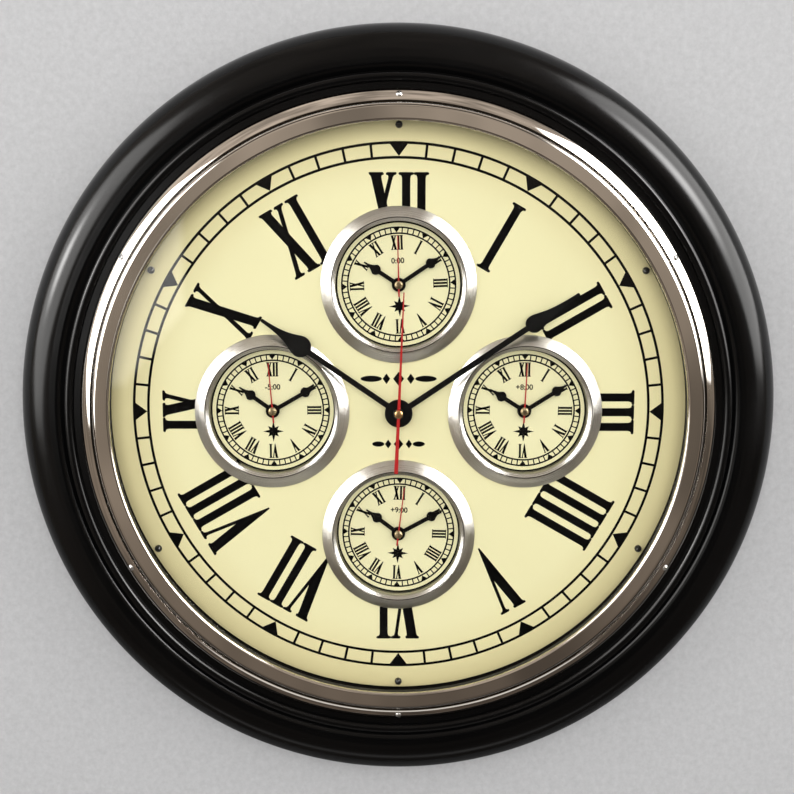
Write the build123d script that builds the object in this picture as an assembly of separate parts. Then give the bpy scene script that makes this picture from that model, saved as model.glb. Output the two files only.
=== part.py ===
from build123d import *
from math import atan2, cos, degrees, hypot, radians, sin
import os

# World time wall clock: one large quartz clock with four small insert clocks let into its dial.
# Lengths are millimetres and angles are degrees, clockwise from twelve where they belong to a dial.
# Each piece is drawn lying on its back: x to the right, y up, z the distance from the wall.
# stand() turns it upright, so the finished clock faces -Y with +Z up and its back lies in the plane y = 0.

# Fits
RUN_FIT = 0.05
PRESS_GAP = 0.02
SEAT_GAP = 0.3
PILOT_GAP = 0.05
CUT = 1.0

# Screw heads, as shares of their height and radius
SCREW_SIDE = 0.3
SCREW_SLOT_DEPTH = 0.45
SCREW_SLOT_WIDTH = 0.4

# Turned case, worked outwards from the dial and the bezel
DIAL_SHOULDER_WIDTH = 14.0
CASE_BEAD_GAP = 4.3
CASE_BEAD_R = 2.6
CASE_BEAD_LIFT = 0.4
CREST_GAP = 8.8
CREST_DROP = 0.3
ROLL_R = 21.9
ROLL_INNER_R = 7.5
ROLL_INNER_ANGLE = 50.0
COVE_DEPTH = 1.0
CASE_FILLET_STEP = 0.8
CASE_FILLET_DROP = 3.4
CASE_BACK_TUCK = 7.9
CASE_BACK_BULGE_DEPTH = 1.6

# Main dial
DIAL_SEAT = 31.0
DIAL_THICK = 3.0
DIAL_R = 174.0
DIAL_SCREW_INSET = 3.6
DIAL_SCREW_HEAD_R = 2.15
DIAL_SCREW_HEAD_H = 3.0
DIAL_SCREW_R = 1.4
DIAL_SCREW_LENGTH = 14.0
RIM_SCREWS = 6

# Bezel and glass
LEDGE_RISE = 11.8
BEZEL_FLANGE_WIDTH = 15.4
BEZEL_EDGE = 1.2
BAND_WIDTH = 6.5
BAND_RISE = 4.2
BAND_GROOVE_DEPTH = 1.6
BAND_GROOVE_WIDTH = 1.1
OVOLO_R = 3.4
OVOLO_RISE = 0.8
CROWN_STEP_WIDTH = 0.4
CROWN_STEP_DROP = 0.4
CROWN_RISE = 0.6
CROWN_BULGE_HEIGHT = 0.3
GLASS_LAP = 2.8
RIM_ROUND_WIDTH = 1.2
RIM_FALL = 1.0
LIP_THICK = 1.2
GLASS_THICK = 2.8
RETAINER_WIDTH = 2.7
RETAINER_DEPTH = 3.0
BEZEL_SCREW_HEAD_R = 1.9
BEZEL_SCREW_HEAD_H = 1.5
BEZEL_SCREW_R = 1.3
BEZEL_SCREW_LENGTH = 13.0

# Main movement, built round its battery and its wheels
MOVEMENT_WALL = 1.5
MOVEMENT_CORNER = 3.0
COVER_THICK = 1.5
BUSH_R = 4.0
NUT_ACROSS = 13.0
NUT_THICK = 2.5
BATTERY_R = 7.1
BATTERY_LENGTH = 49.2
BATTERY_NUB_R = 2.7
BATTERY_NUB_LENGTH = 1.3
BAY_END_GAP = 1.25
BAY_SIDE_GAP = 0.9
BAY_BACK_GAP = 0.5
PARTITION_THICK = 0.75
WHEEL_THICK = 1.0
WHEEL_SPACE = 0.8
WHEEL_EDGE_GAP = 0.15
MESH_DISTANCE = 12.0
MESH_GAP = 0.15
CANNON_RATIO = 3
HOUR_RATIO = 4
MOTION_ANGLE = 50.0
MOTION_ARBOR_R = 1.5
CENTRE_WHEEL_R = 7.2
SECOND_WHEEL_R = 6.0
TRAIN_STEP_HEIGHT = 3.4
KNOB_R = 7.5
KNOB_THICK = 4.5
KNOB_FLUTES = 14
FLUTE_R = 0.9
COIL_LENGTH = 20.0
COIL_INSET = 0.4
CHEEK_WIDTH = 8.0
CHEEK_THICK = 2.0
BOARD_THICK = 1.0
BOARD_MARGIN = 2.0
BOARD_WALL_GAP = 2.5
CHIP_SIDE = 5.0
CHIP_THICK = 1.2

# Arbors of the main clock
HOUR_TUBE_R = 2.5
MINUTE_TUBE_R = 1.8
SECOND_ARBOR_R = 0.8
BEARING_R = 2.2
BEARING_DEPTH = 3.0

# Main hands, lengths from the axis
HAND_THICK = 0.8
SECOND_HAND_THICK = 0.5
HAND_CLEARANCE = 1.3
HAND_BUSH_GAP = 2.0
HAND_SPACE = 1.0
HUB_R = 8.3
HOUR_STEM = 3.3
HOUR_BULGE_AT = 71.0
HOUR_BULGE_R = 6.4
HOUR_TIP_AT = 98.8
MINUTE_STEM = 3.4
MINUTE_BULGE_AT = 96.8
MINUTE_BULGE_R = 5.2
MINUTE_TIP_AT = 128.4
TIP_WIDTH = 2.0
SECOND_TIP_AT = 72.6
SECOND_TIP_WIDTH = 0.7
SECOND_TAIL_AT = 36.5
SECOND_TAIL_WIDTH = 2.3
CAP_R = 3.3
CAP_HEIGHT = 1.3
HOUR_ANGLE = -55.6
MINUTE_ANGLE = 56.2
SECOND_ANGLE = 2.4

# Insert clocks, clockwise from twelve, with the angles of their hands
INSERT_NAMES = ("top", "right", "bottom", "left")
INSERT_HOUR_ANGLES = (-57.0, -57.5, -53.0, -54.5)
INSERT_MINUTE_ANGLES = (56.0, 57.9, 61.5, 60.0)
INSERT_SECOND_ANGLES = (-1.5, 2.6, 7.1, -4.5)
INSERT_MOVEMENT_GAP = 8.35
INSERT_FLANGE_WIDTH = 5.91
INSERT_EDGE = 1.4
INSERT_SIGHT_R = 38.0
INSERT_LIP_WIDTH = 2.4
INSERT_LIP_THICK = 0.8
INSERT_LIP_DROP = 1.8
LENS_CLEARANCE = 0.7
LENS_THICK = 1.2
LENS_LAP = 0.5
LENS_GAP = 0.1
SKIRT_WALL = 1.0
CUP_WALL = 1.1
CUP_DEPTH = 19.0
CUP_BACK = 1.5
CUP_SHOULDER = 3.0
GASKET_WALL = 0.6
INSERT_DIAL_SINK = 5.0
INSERT_DIAL_THICK = 0.6
INSERT_MOVEMENT_R = 20.0
INSERT_MOVEMENT_PROUD = 0.6
INSERT_BUSH_R = 3.2
INSERT_BUSH_PROUD = 0.8
INSERT_BORE_DEPTH = 8.0
CELL_R = 5.8
CELL_THICK = 5.4
CELL_WALL = 2.4
INSERT_KNOB_R = 4.5
INSERT_KNOB_THICK = 3.0
INSERT_KNOB_ARBOR_R = 1.2
INSERT_KNOB_REACH = 6.0
INSERT_KNOB_INSET = 10.0
INSERT_KNOB_FLUTES = 10

# Insert hands
INSERT_HAND_THICK = 0.5
INSERT_HAND_LIFT = 1.5
INSERT_HAND_SPACE = 0.7
INSERT_HUB_R = 4.2
INSERT_STEM = 2.5
INSERT_HOUR_BULGE_AT = 16.6
INSERT_HOUR_BULGE_R = 3.15
INSERT_HOUR_TIP_AT = 24.6
INSERT_MINUTE_BULGE_AT = 23.2
INSERT_MINUTE_BULGE_R = 3.1
INSERT_MINUTE_TIP_AT = 30.8
INSERT_TIP_WIDTH = 0.9
INSERT_SECOND_TIP_AT = 29.3
INSERT_SECOND_TIP_WIDTH = 0.5
INSERT_SECOND_TAIL_AT = 7.2
INSERT_SECOND_TAIL_WIDTH = 1.0
INSERT_CAP_R = 2.1
INSERT_CAP_HEIGHT = 1.1
INSERT_HOUR_TUBE_R = 1.8
INSERT_MINUTE_TUBE_R = 1.3
INSERT_SECOND_ARBOR_R = 0.75
INSERT_ARBOR_STEP_LENGTH = 0.8

# Wall hanger
HANGER_WIDTH = 70.0
HANGER_HEIGHT = 24.0
HANGER_THICK = 2.0
HANGER_MARGIN = 18.0
KEY_ENTRY_R = 5.0
KEY_SLOT_R = 2.6
KEY_RUN = 9.0
KEY_POCKET_DEPTH = 9.0
KEY_POCKET_SPARE = 2.0
HANGER_SCREW_SPACING = 56.0
HANGER_SCREW_R = 1.5
HANGER_SCREW_HEAD_R = 3.0
HANGER_SCREW_LENGTH = 14.0

# Shape of a spade hand's taper, as shares of the length from bulge to tip
TAPER_SHOULDER = 0.18
TAPER_WAIST = 0.25
TAPER_WAIST_WIDTH = 1.2

# Radii worked out from the sizes above
case_bore_r = DIAL_R - DIAL_SHOULDER_WIDTH
case_opening_r = DIAL_R + SEAT_GAP
glass_r = DIAL_R
rebate_r = glass_r + SEAT_GAP
rim_r = glass_r - GLASS_LAP
bezel_r = case_opening_r + BEZEL_FLANGE_WIDTH
case_bead_in_r = bezel_r + CASE_BEAD_GAP
crest_r = case_bead_in_r + 2 * CASE_BEAD_R + CREST_GAP
case_r = crest_r + ROLL_R
case_back_r = case_r - CASE_BACK_TUCK
screw_circle_r = DIAL_R - DIAL_SCREW_INSET
hanger_y = case_bore_r + HANGER_MARGIN + HANGER_HEIGHT / 2
key_entry_y = hanger_y - KEY_RUN / 2
skirt_r = INSERT_SIGHT_R + SKIRT_WALL
cup_mouth_r = skirt_r + RUN_FIT
cup_r = cup_mouth_r + CUP_WALL
insert_hole_r = cup_r + GASKET_WALL + 2 * PRESS_GAP
insert_bezel_r = insert_hole_r + INSERT_FLANGE_WIDTH
cell_pocket_r = CELL_R + SEAT_GAP
cell_y = cell_pocket_r + CELL_WALL - INSERT_MOVEMENT_R
insert_knob_y = INSERT_MOVEMENT_R - INSERT_KNOB_INSET

# Wheels of the main movement: minute to hour goes down in two steps on one mesh distance
cannon_pinion_r = MESH_DISTANCE / (1 + CANNON_RATIO)
motion_wheel_r = MESH_DISTANCE - cannon_pinion_r
hour_pinion_r = MESH_DISTANCE / (1 + HOUR_RATIO)
hour_wheel_r = MESH_DISTANCE - hour_pinion_r

# Outline of the main movement: works above, battery bay below
battery_length = BATTERY_LENGTH + BATTERY_NUB_LENGTH
movement_inner = battery_length / 2 + BAY_END_GAP
movement_half = movement_inner + MOVEMENT_WALL
works_low = -hour_wheel_r - WHEEL_EDGE_GAP
bay_high = works_low - PARTITION_THICK
bay_low = bay_high - 2 * BATTERY_R - 2 * BAY_SIDE_GAP
insert_pitch_r = movement_half + INSERT_MOVEMENT_GAP + cup_r

# Heights over the wall
dial_front = DIAL_SEAT + DIAL_THICK
ledge = dial_front + LEDGE_RISE
case_crest = ledge - CREST_DROP
case_widest = case_crest - ROLL_R
cavity_floor = DIAL_SEAT - MOVEMENT_WALL
battery_z = cavity_floor - SEAT_GAP - BATTERY_R
movement_back = battery_z - BATTERY_R - BAY_BACK_GAP
cover_back = movement_back - COVER_THICK
knob_high = cover_back - SEAT_GAP
knob_low = knob_high - KNOB_THICK
hour_wheel_low = cavity_floor - SEAT_GAP - WHEEL_THICK
cannon_low = hour_wheel_low - WHEEL_SPACE - WHEEL_THICK
centre_wheel_low = cannon_low - TRAIN_STEP_HEIGHT
second_wheel_low = centre_wheel_low - WHEEL_SPACE - WHEEL_THICK
insert_dial_front = dial_front - INSERT_DIAL_SINK
insert_dial_back = insert_dial_front - INSERT_DIAL_THICK
insert_hour_low = insert_dial_front + INSERT_HAND_LIFT
insert_minute_low = insert_hour_low + INSERT_HAND_THICK + INSERT_HAND_SPACE
insert_second_low = insert_minute_low + INSERT_HAND_THICK + INSERT_HAND_SPACE
insert_cap_top = insert_second_low + INSERT_HAND_THICK + INSERT_CAP_HEIGHT
lens_low = insert_cap_top + LENS_CLEARANCE + LENS_GAP
lens_top = lens_low + LENS_THICK
insert_lip_low = lens_top + LENS_GAP
insert_lip_top = insert_lip_low + INSERT_LIP_THICK
insert_crest = insert_lip_top + INSERT_LIP_DROP
cup_back = dial_front - CUP_DEPTH
insert_back = cup_back - INSERT_MOVEMENT_PROUD
insert_bore_low = insert_dial_back - INSERT_BORE_DEPTH
hour_hand_low = insert_crest + HAND_CLEARANCE
bush_top = hour_hand_low - HAND_BUSH_GAP
hour_hand_top = hour_hand_low + HAND_THICK
minute_hand_low = hour_hand_top + HAND_SPACE
minute_hand_top = minute_hand_low + HAND_THICK
second_hand_low = minute_hand_top + HAND_SPACE
second_hand_top = second_hand_low + SECOND_HAND_THICK

os.makedirs("parts", exist_ok=True)


def stand(shape):
    """Turn a piece drawn on its back so that it faces -Y."""
    return Rot(90, 0, 0) * shape


def save(name, *solids):
    """Write one node, as a single solid or as a group of separate ones."""
    shape = solids[0] if len(solids) == 1 else Compound(list(solids))
    export_step(stand(shape), f"parts/{name}.step")


def disc(radius, low, high):
    """Cylinder on the z axis between two heights."""
    return Pos(0, 0, low) * Cylinder(radius, high - low, align=(Align.CENTER, Align.CENTER, Align.MIN))


def tube(outer, inner, low, high):
    """Hollow cylinder on the z axis between two heights."""
    return disc(outer, low, high) - disc(inner, low - CUT, high + CUT)


def block(x_low, x_high, y_low, y_high, low, high):
    """Box between two corners."""
    box = Box(x_high - x_low, y_high - y_low, high - low, align=(Align.MIN, Align.MIN, Align.MIN))
    return Pos(x_low, y_low, low) * box


def turned(*edges):
    """Ring turned about the z axis from an outline of (radius, height) edges."""
    return revolve(Plane.XZ * make_face(edges), Axis.Z)


def around(shape, count):
    """Copies of a piece spread evenly round the z axis."""
    return [Rot(0, 0, -360.0 * i / count) * shape for i in range(count)]


def arc_mid(centre, radius, start, end):
    """Start, middle and end points of an arc between two directions."""
    turn = [start, (start + end) / 2, end]
    return [(centre[0] + radius * cos(radians(a)), centre[1] + radius * sin(radians(a))) for a in turn]


def screw(head_r, head_h, shank_r, length):
    """Slotted round-headed screw whose head sits on z = 0 and whose shank goes down."""
    side = head_h * SCREW_SIDE
    dome = head_h - side
    dome_r = (head_r**2 + dome**2) / (2 * dome)
    centre = head_h - dome_r
    cap = arc_mid((0, centre), dome_r, degrees(atan2(side - centre, head_r)), 90)
    outline = [
        Line((shank_r, 0), (head_r, 0)),
        Line((head_r, 0), cap[0]),
        ThreePointArc(*cap),
        Line(cap[2], (0, -length)),
        Line((0, -length), (shank_r, -length + shank_r)),
        Line((shank_r, -length + shank_r), (shank_r, 0)),
    ]
    half = head_r * SCREW_SLOT_WIDTH / 2
    slot = block(-head_r, head_r, -half, half, head_h * (1 - SCREW_SLOT_DEPTH), head_h + CUT)
    return turned(*outline) - slot


def case_ring():
    """Turned ring: fillet, broad outer roll, cove, small bead, ledge for the bezel and seat for the dial."""
    roll = arc_mid((crest_r, case_widest), ROLL_R, 0, 90)
    inner_at = (crest_r, case_crest - ROLL_INNER_R)
    inner = arc_mid(inner_at, ROLL_INNER_R, 90, 90 + ROLL_INNER_ANGLE)
    bead_at = (case_bead_in_r + CASE_BEAD_R, ledge + CASE_BEAD_LIFT)
    bead = arc_mid(bead_at, CASE_BEAD_R, 0, 180)
    cove_end = (bead[0][0], inner[2][1])
    cove_mid = ((inner[2][0] + cove_end[0]) / 2, inner[2][1] - COVE_DEPTH)
    fillet = (case_r + CASE_FILLET_STEP, case_widest - CASE_FILLET_DROP)
    back_mid = ((fillet[0] + case_back_r) / 2 + CASE_BACK_BULGE_DEPTH, fillet[1] / 2)
    outline = [
        Line((case_bore_r, 0), (case_back_r, 0)),
        ThreePointArc((case_back_r, 0), back_mid, fillet),
        Line(fillet, (case_r, fillet[1])),
        Line((case_r, fillet[1]), roll[0]),
        ThreePointArc(*roll),
        ThreePointArc(*inner),
        ThreePointArc(inner[2], cove_mid, cove_end),
        Line(cove_end, bead[0]),
        ThreePointArc(*bead),
        Line(bead[2], (case_bead_in_r, ledge)),
        Line((case_bead_in_r, ledge), (case_opening_r, ledge)),
        Line((case_opening_r, ledge), (case_opening_r, DIAL_SEAT)),
        Line((case_opening_r, DIAL_SEAT), (case_bore_r, DIAL_SEAT)),
        Line((case_bore_r, DIAL_SEAT), (case_bore_r, 0)),
    ]
    ring = turned(*outline)
    dial_pilot = disc(DIAL_SCREW_R + PILOT_GAP, DIAL_SEAT - DIAL_SCREW_LENGTH, DIAL_SEAT + CUT)
    ring -= around(Pos(0, screw_circle_r, 0) * dial_pilot, RIM_SCREWS)
    bezel_pilot = disc(BEZEL_SCREW_R + PILOT_GAP, -BEZEL_SCREW_LENGTH - CUT, 0)
    ring -= around(bezel_screw_place() * bezel_pilot, RIM_SCREWS)
    return ring - hanger_recess()


def hanger_recess():
    """Pocket in the back of the ring for the keyhole plate, its screws and the head of the wall screw."""
    half = HANGER_WIDTH / 2 + SEAT_GAP
    tall = HANGER_HEIGHT / 2 + SEAT_GAP
    recess = block(-half, half, hanger_y - tall, hanger_y + tall, -CUT, HANGER_THICK)
    side = KEY_ENTRY_R + KEY_POCKET_SPARE
    pocket_high = key_entry_y + KEY_RUN + side
    recess += block(-side, side, key_entry_y - side, pocket_high, 0, HANGER_THICK + KEY_POCKET_DEPTH)
    for x in (-HANGER_SCREW_SPACING / 2, HANGER_SCREW_SPACING / 2):
        recess += Pos(x, hanger_y, 0) * disc(HANGER_SCREW_R + PILOT_GAP, 0, HANGER_SCREW_LENGTH + CUT)
    return recess


def hanger_plate():
    """Keyhole plate, flush with the back of the ring, countersunk for its two screws."""
    half = HANGER_WIDTH / 2
    tall = HANGER_HEIGHT / 2
    through = HANGER_THICK + CUT
    plate = block(-half, half, hanger_y - tall, hanger_y + tall, 0, HANGER_THICK)
    plate -= Pos(0, key_entry_y, 0) * disc(KEY_ENTRY_R, -CUT, through)
    slot_top = key_entry_y + KEY_RUN
    plate -= block(-KEY_SLOT_R, KEY_SLOT_R, key_entry_y, slot_top, -CUT, through)
    plate -= Pos(0, slot_top, 0) * disc(KEY_SLOT_R, -CUT, through)
    for x in (-HANGER_SCREW_SPACING / 2, HANGER_SCREW_SPACING / 2):
        plate -= Pos(x, hanger_y, 0) * countersunk(PILOT_GAP)
    return plate


def countersunk(gap):
    """Flat-headed wood screw driven from the wall side, or its hole when a gap is given."""
    head_r = HANGER_SCREW_HEAD_R + gap
    shank_r = HANGER_SCREW_R + gap
    tip = HANGER_SCREW_LENGTH
    outline = [
        Line((0, 0), (head_r, 0)),
        Line((head_r, 0), (shank_r, head_r - shank_r)),
        Line((shank_r, head_r - shank_r), (shank_r, tip - shank_r)),
        Line((shank_r, tip - shank_r), (0, tip)),
        Line((0, tip), (0, 0)),
    ]
    return turned(*outline)


def bezel_screw_place():
    """Place of one bezel screw: square to the sloping band, in the middle of its width."""
    tilt = degrees(atan2(BAND_RISE, BAND_WIDTH))
    middle_r = bezel_r - BAND_WIDTH / 2
    middle_z = ledge + BEZEL_EDGE + BAND_RISE / 2
    return Pos(0, middle_r, middle_z) * Rot(-tilt, 0, 0)


def bezel_steps():
    """Points (radius, height) of the bezel's front: band top, ovolo centre, outer and inner edge of the crown."""
    band_top = (bezel_r - BAND_WIDTH, ledge + BEZEL_EDGE + BAND_RISE)
    ovolo_r = band_top[0] - BAND_GROOVE_WIDTH - OVOLO_R
    ovolo_at = (ovolo_r, band_top[1] - BAND_GROOVE_DEPTH + OVOLO_RISE)
    crown_out = (ovolo_r - CROWN_STEP_WIDTH, ovolo_at[1] + OVOLO_R - CROWN_STEP_DROP)
    return band_top, ovolo_at, crown_out, (rim_r + RIM_ROUND_WIDTH, crown_out[1] + CROWN_RISE)


def rim_low():
    """Height where the bezel's rounded rim ends, at the edge of its lip."""
    return bezel_steps()[3][1] - RIM_FALL


def glass_top():
    """Height of the glass's front face, against the bezel's lip."""
    return rim_low() - LIP_THICK


def front_bezel():
    """Stepped ring: sloping screw band, groove, quarter round, shallow crown and a rim over the glass."""
    band_top, ovolo_at, crown_out, crown_in = bezel_steps()
    groove_in = band_top[0] - BAND_GROOVE_WIDTH
    groove_z = band_top[1] - BAND_GROOVE_DEPTH
    ovolo = arc_mid(ovolo_at, OVOLO_R, 0, 90)
    run = crown_out[0] - crown_in[0]
    reach = hypot(run, CROWN_RISE)
    crown_mid = (
        (crown_out[0] + crown_in[0]) / 2 + CROWN_BULGE_HEIGHT * CROWN_RISE / reach,
        (crown_out[1] + crown_in[1]) / 2 + CROWN_BULGE_HEIGHT * run / reach,
    )
    rim_mid = (
        rim_r + RIM_ROUND_WIDTH * (1 - cos(radians(45))),
        rim_low() + RIM_FALL * sin(radians(60)),
    )
    outline = [
        Line((rebate_r, ledge), (bezel_r, ledge)),
        Line((bezel_r, ledge), (bezel_r, ledge + BEZEL_EDGE)),
        Line((bezel_r, ledge + BEZEL_EDGE), band_top),
        Line(band_top, (band_top[0], groove_z)),
        Line((band_top[0], groove_z), (groove_in, groove_z)),
        Line((groove_in, groove_z), ovolo[0]),
        ThreePointArc(*ovolo),
        Line(ovolo[2], crown_out),
        ThreePointArc(crown_out, crown_mid, crown_in),
        ThreePointArc(crown_in, rim_mid, (rim_r, rim_low())),
        Line((rim_r, rim_low()), (rim_r, glass_top())),
        Line((rim_r, glass_top()), (rebate_r, glass_top())),
        Line((rebate_r, glass_top()), (rebate_r, ledge)),
    ]
    hole = disc(BEZEL_SCREW_R + PILOT_GAP, -BEZEL_SCREW_LENGTH, CUT)
    return turned(*outline) - around(bezel_screw_place() * hole, RIM_SCREWS)


def glass_retainer():
    """Rubber ring pushed into the bezel's rebate behind the glass."""
    high = glass_top() - GLASS_THICK
    outer = rebate_r - PRESS_GAP
    return tube(outer, outer - RETAINER_WIDTH, high - RETAINER_DEPTH, high)


def insert_place(index):
    """Place of an insert clock's axis on the main dial: spread evenly, the first at twelve."""
    turn = radians(360 * index / len(INSERT_NAMES))
    return Pos(insert_pitch_r * sin(turn), insert_pitch_r * cos(turn), 0)


def main_dial():
    """Flat board with a hole for the movement's bush, four for the inserts and six for its screws."""
    board = disc(DIAL_R, DIAL_SEAT, dial_front)
    board -= disc(BUSH_R + RUN_FIT, DIAL_SEAT - CUT, dial_front + CUT)
    screw_hole = disc(DIAL_SCREW_R + PILOT_GAP, DIAL_SEAT - CUT, dial_front + CUT)
    board -= around(Pos(0, screw_circle_r, 0) * screw_hole, RIM_SCREWS)
    for index in range(len(INSERT_NAMES)):
        board -= insert_place(index) * disc(insert_hole_r, DIAL_SEAT - CUT, dial_front + CUT)
    return board


def movement_housing():
    """Movement's front shell: works cavity above, open battery bay below, threaded bush through the dial."""
    inner = movement_inner
    bottom = bay_low - MOVEMENT_WALL
    shell = block(-movement_half, movement_half, bottom, movement_half, movement_back, DIAL_SEAT)
    shell = fillet(shell.edges().filter_by(Axis.Z), MOVEMENT_CORNER)
    shell += disc(BUSH_R, cavity_floor, bush_top)
    shell -= block(-inner, inner, works_low, inner, movement_back - CUT, cavity_floor)
    shell -= block(-inner, inner, bay_low, bay_high, movement_back - CUT, cavity_floor)
    return shell - disc(HOUR_TUBE_R + RUN_FIT, cavity_floor - CUT, bush_top + CUT)


def motion_place():
    """Axis of the motion wheel, one mesh distance from the main axis."""
    turn = radians(MOTION_ANGLE)
    return Pos(MESH_DISTANCE * sin(turn), MESH_DISTANCE * cos(turn), 0)


def movement_cover():
    """Back plate over the works, with the rear bearing of the second arbor and the knob's hole."""
    edge = works_low - PARTITION_THICK / 2
    plate = block(-movement_half, movement_half, edge, movement_half, cover_back, movement_back)
    top_edges = plate.edges().filter_by(Axis.Z).group_by(Axis.Y)[-1]
    plate = fillet(top_edges, MOVEMENT_CORNER)
    plate += disc(BEARING_R, cover_back, movement_back + BEARING_DEPTH)
    plate -= disc(SECOND_ARBOR_R + RUN_FIT, movement_back, movement_back + BEARING_DEPTH + CUT)
    return plate - motion_place() * disc(MOTION_ARBOR_R + RUN_FIT, cover_back - CUT, movement_back + CUT)


def drive_circuit():
    """Coil on its bobbin, the board behind it and the chip, soldered together beside the wheels."""
    cheek_low = cavity_floor - CHEEK_WIDTH
    middle = cavity_floor - CHEEK_WIDTH / 2
    edge_x = CHEEK_WIDTH / 2 + BOARD_MARGIN
    edge_y = COIL_LENGTH / 2 + CHEEK_THICK
    at_x = edge_x + BOARD_WALL_GAP - movement_inner
    at_y = (works_low + movement_inner) / 2
    coil_r = CHEEK_WIDTH / 2 - COIL_INSET
    bobbin = Pos(at_x, at_y, middle) * Rot(90, 0, 0) * Cylinder(coil_r, COIL_LENGTH)
    x_low = at_x - CHEEK_WIDTH / 2
    for y in (at_y - edge_y, at_y + edge_y - CHEEK_THICK):
        bobbin += block(x_low, x_low + CHEEK_WIDTH, y, y + CHEEK_THICK, cheek_low, cavity_floor)
    board_low = cheek_low - BOARD_THICK
    board = block(at_x - edge_x, at_x + edge_x, at_y - edge_y, at_y + edge_y, board_low, cheek_low)
    chip_x = at_x - CHIP_SIDE / 2
    chip_y = at_y - CHIP_SIDE / 2
    chip_low = board_low - CHIP_THICK
    chip = block(chip_x, chip_x + CHIP_SIDE, chip_y, chip_y + CHIP_SIDE, chip_low, board_low)
    return bobbin, board, chip


def battery():
    """AA cell lying in the bay, with its positive nub."""
    cell = disc(BATTERY_R, 0, BATTERY_LENGTH) + disc(BATTERY_NUB_R, 0, battery_length)
    return Pos(-battery_length / 2, (bay_low + bay_high) / 2, battery_z) * Rot(0, 90, 0) * cell


def movement_nut():
    """Hex nut on the bush, clamping the movement to the dial."""
    corner_r = NUT_ACROSS / 2 / cos(radians(30))
    nut = Pos(0, 0, dial_front) * extrude(RegularPolygon(corner_r, 6), NUT_THICK)
    return nut - disc(BUSH_R + RUN_FIT, dial_front - CUT, dial_front + NUT_THICK + CUT)


def hour_tube():
    """Hour wheel with the tube that carries the hour hand."""
    body = disc(hour_wheel_r - MESH_GAP / 2, hour_wheel_low, hour_wheel_low + WHEEL_THICK)
    body += disc(HOUR_TUBE_R, hour_wheel_low, hour_hand_top)
    return body - disc(MINUTE_TUBE_R + RUN_FIT, hour_wheel_low - CUT, hour_hand_top + CUT)


def minute_arbor():
    """Cannon pinion and centre wheel on the tube that carries the minute hand."""
    body = disc(MINUTE_TUBE_R, centre_wheel_low, minute_hand_top)
    body += disc(cannon_pinion_r - MESH_GAP / 2, cannon_low, cannon_low + WHEEL_THICK)
    body += disc(CENTRE_WHEEL_R, centre_wheel_low, centre_wheel_low + WHEEL_THICK)
    return body - disc(SECOND_ARBOR_R + RUN_FIT, centre_wheel_low - CUT, minute_hand_top + CUT)


def second_arbor():
    """Thin arbor from the cover's bearing to the second hand, with its wheel."""
    arbor = disc(SECOND_ARBOR_R, movement_back + SEAT_GAP, second_hand_top)
    return arbor + disc(SECOND_WHEEL_R, second_wheel_low, second_wheel_low + WHEEL_THICK)


def motion_wheel():
    """Wheel and pinion between cannon pinion and hour wheel, on the arbor that ends in the knob."""
    top = hour_wheel_low + WHEEL_THICK
    body = disc(MOTION_ARBOR_R, knob_low + PRESS_GAP, top)
    body += disc(motion_wheel_r - MESH_GAP / 2, cannon_low, cannon_low + WHEEL_THICK)
    body += disc(hour_pinion_r - MESH_GAP / 2, cannon_low, top)
    return motion_place() * body


def knob(radius, flutes, low, high):
    """Fluted knob."""
    body = disc(radius, low, high)
    cutter = Pos(0, radius, 0) * disc(FLUTE_R, low - CUT, high + CUT)
    return body - around(cutter, flutes)


def set_knob():
    """Hand-setting knob pressed on the motion wheel's arbor, behind the cover."""
    body = knob(KNOB_R, KNOB_FLUTES, knob_low, knob_high)
    return motion_place() * (body - disc(MOTION_ARBOR_R + PRESS_GAP, knob_low - CUT, knob_high + CUT))


def spade_hand(hub_r, stem, bulge_at, bulge_r, tip_at, tip_width):
    """Outline of a spade hand pointing up: hub, straight stem and a round bulge drawn out to a blunt tip."""
    reach = tip_at - bulge_at
    tip = tip_width / 2
    shoulder = bulge_at + TAPER_SHOULDER * reach
    waist = bulge_at + TAPER_WAIST * reach
    waist_x = TAPER_WAIST_WIDTH * tip
    edges = [
        Bezier((bulge_r, bulge_at), (bulge_r, shoulder), (waist_x, waist), (tip, tip_at)),
        ThreePointArc((tip, tip_at), (0, tip_at + tip / 2), (-tip, tip_at)),
        Bezier((-tip, tip_at), (-waist_x, waist), (-bulge_r, shoulder), (-bulge_r, bulge_at)),
        ThreePointArc((-bulge_r, bulge_at), (0, bulge_at - bulge_r), (bulge_r, bulge_at)),
    ]
    return Circle(hub_r) + Pos(0, bulge_at / 2) * Rectangle(stem, bulge_at) + make_face(edges)


def pointer(tip_at, tip_width, tail_at, tail_width):
    """Outline of a second hand: one long wedge, wide at the tail and thin at the tip."""
    corners = [
        (-tip_width / 2, tip_at),
        (tip_width / 2, tip_at),
        (tail_width / 2, -tail_at),
        (-tail_width / 2, -tail_at),
    ]
    return make_face(Polyline(*corners, close=True))


def plate(outline, low, thick, angle):
    """Hand cut from sheet, lifted to its height and turned clockwise to its angle."""
    return Rot(0, 0, -angle) * Pos(0, 0, low) * extrude(outline, thick)


def hour_hand():
    """Main hour hand, pressed on the hour tube."""
    shape = spade_hand(HUB_R, HOUR_STEM, HOUR_BULGE_AT, HOUR_BULGE_R, HOUR_TIP_AT, TIP_WIDTH)
    hand = plate(shape, hour_hand_low, HAND_THICK, HOUR_ANGLE)
    return hand - disc(HOUR_TUBE_R + PRESS_GAP, hour_hand_low - CUT, hour_hand_top + CUT)


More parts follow.
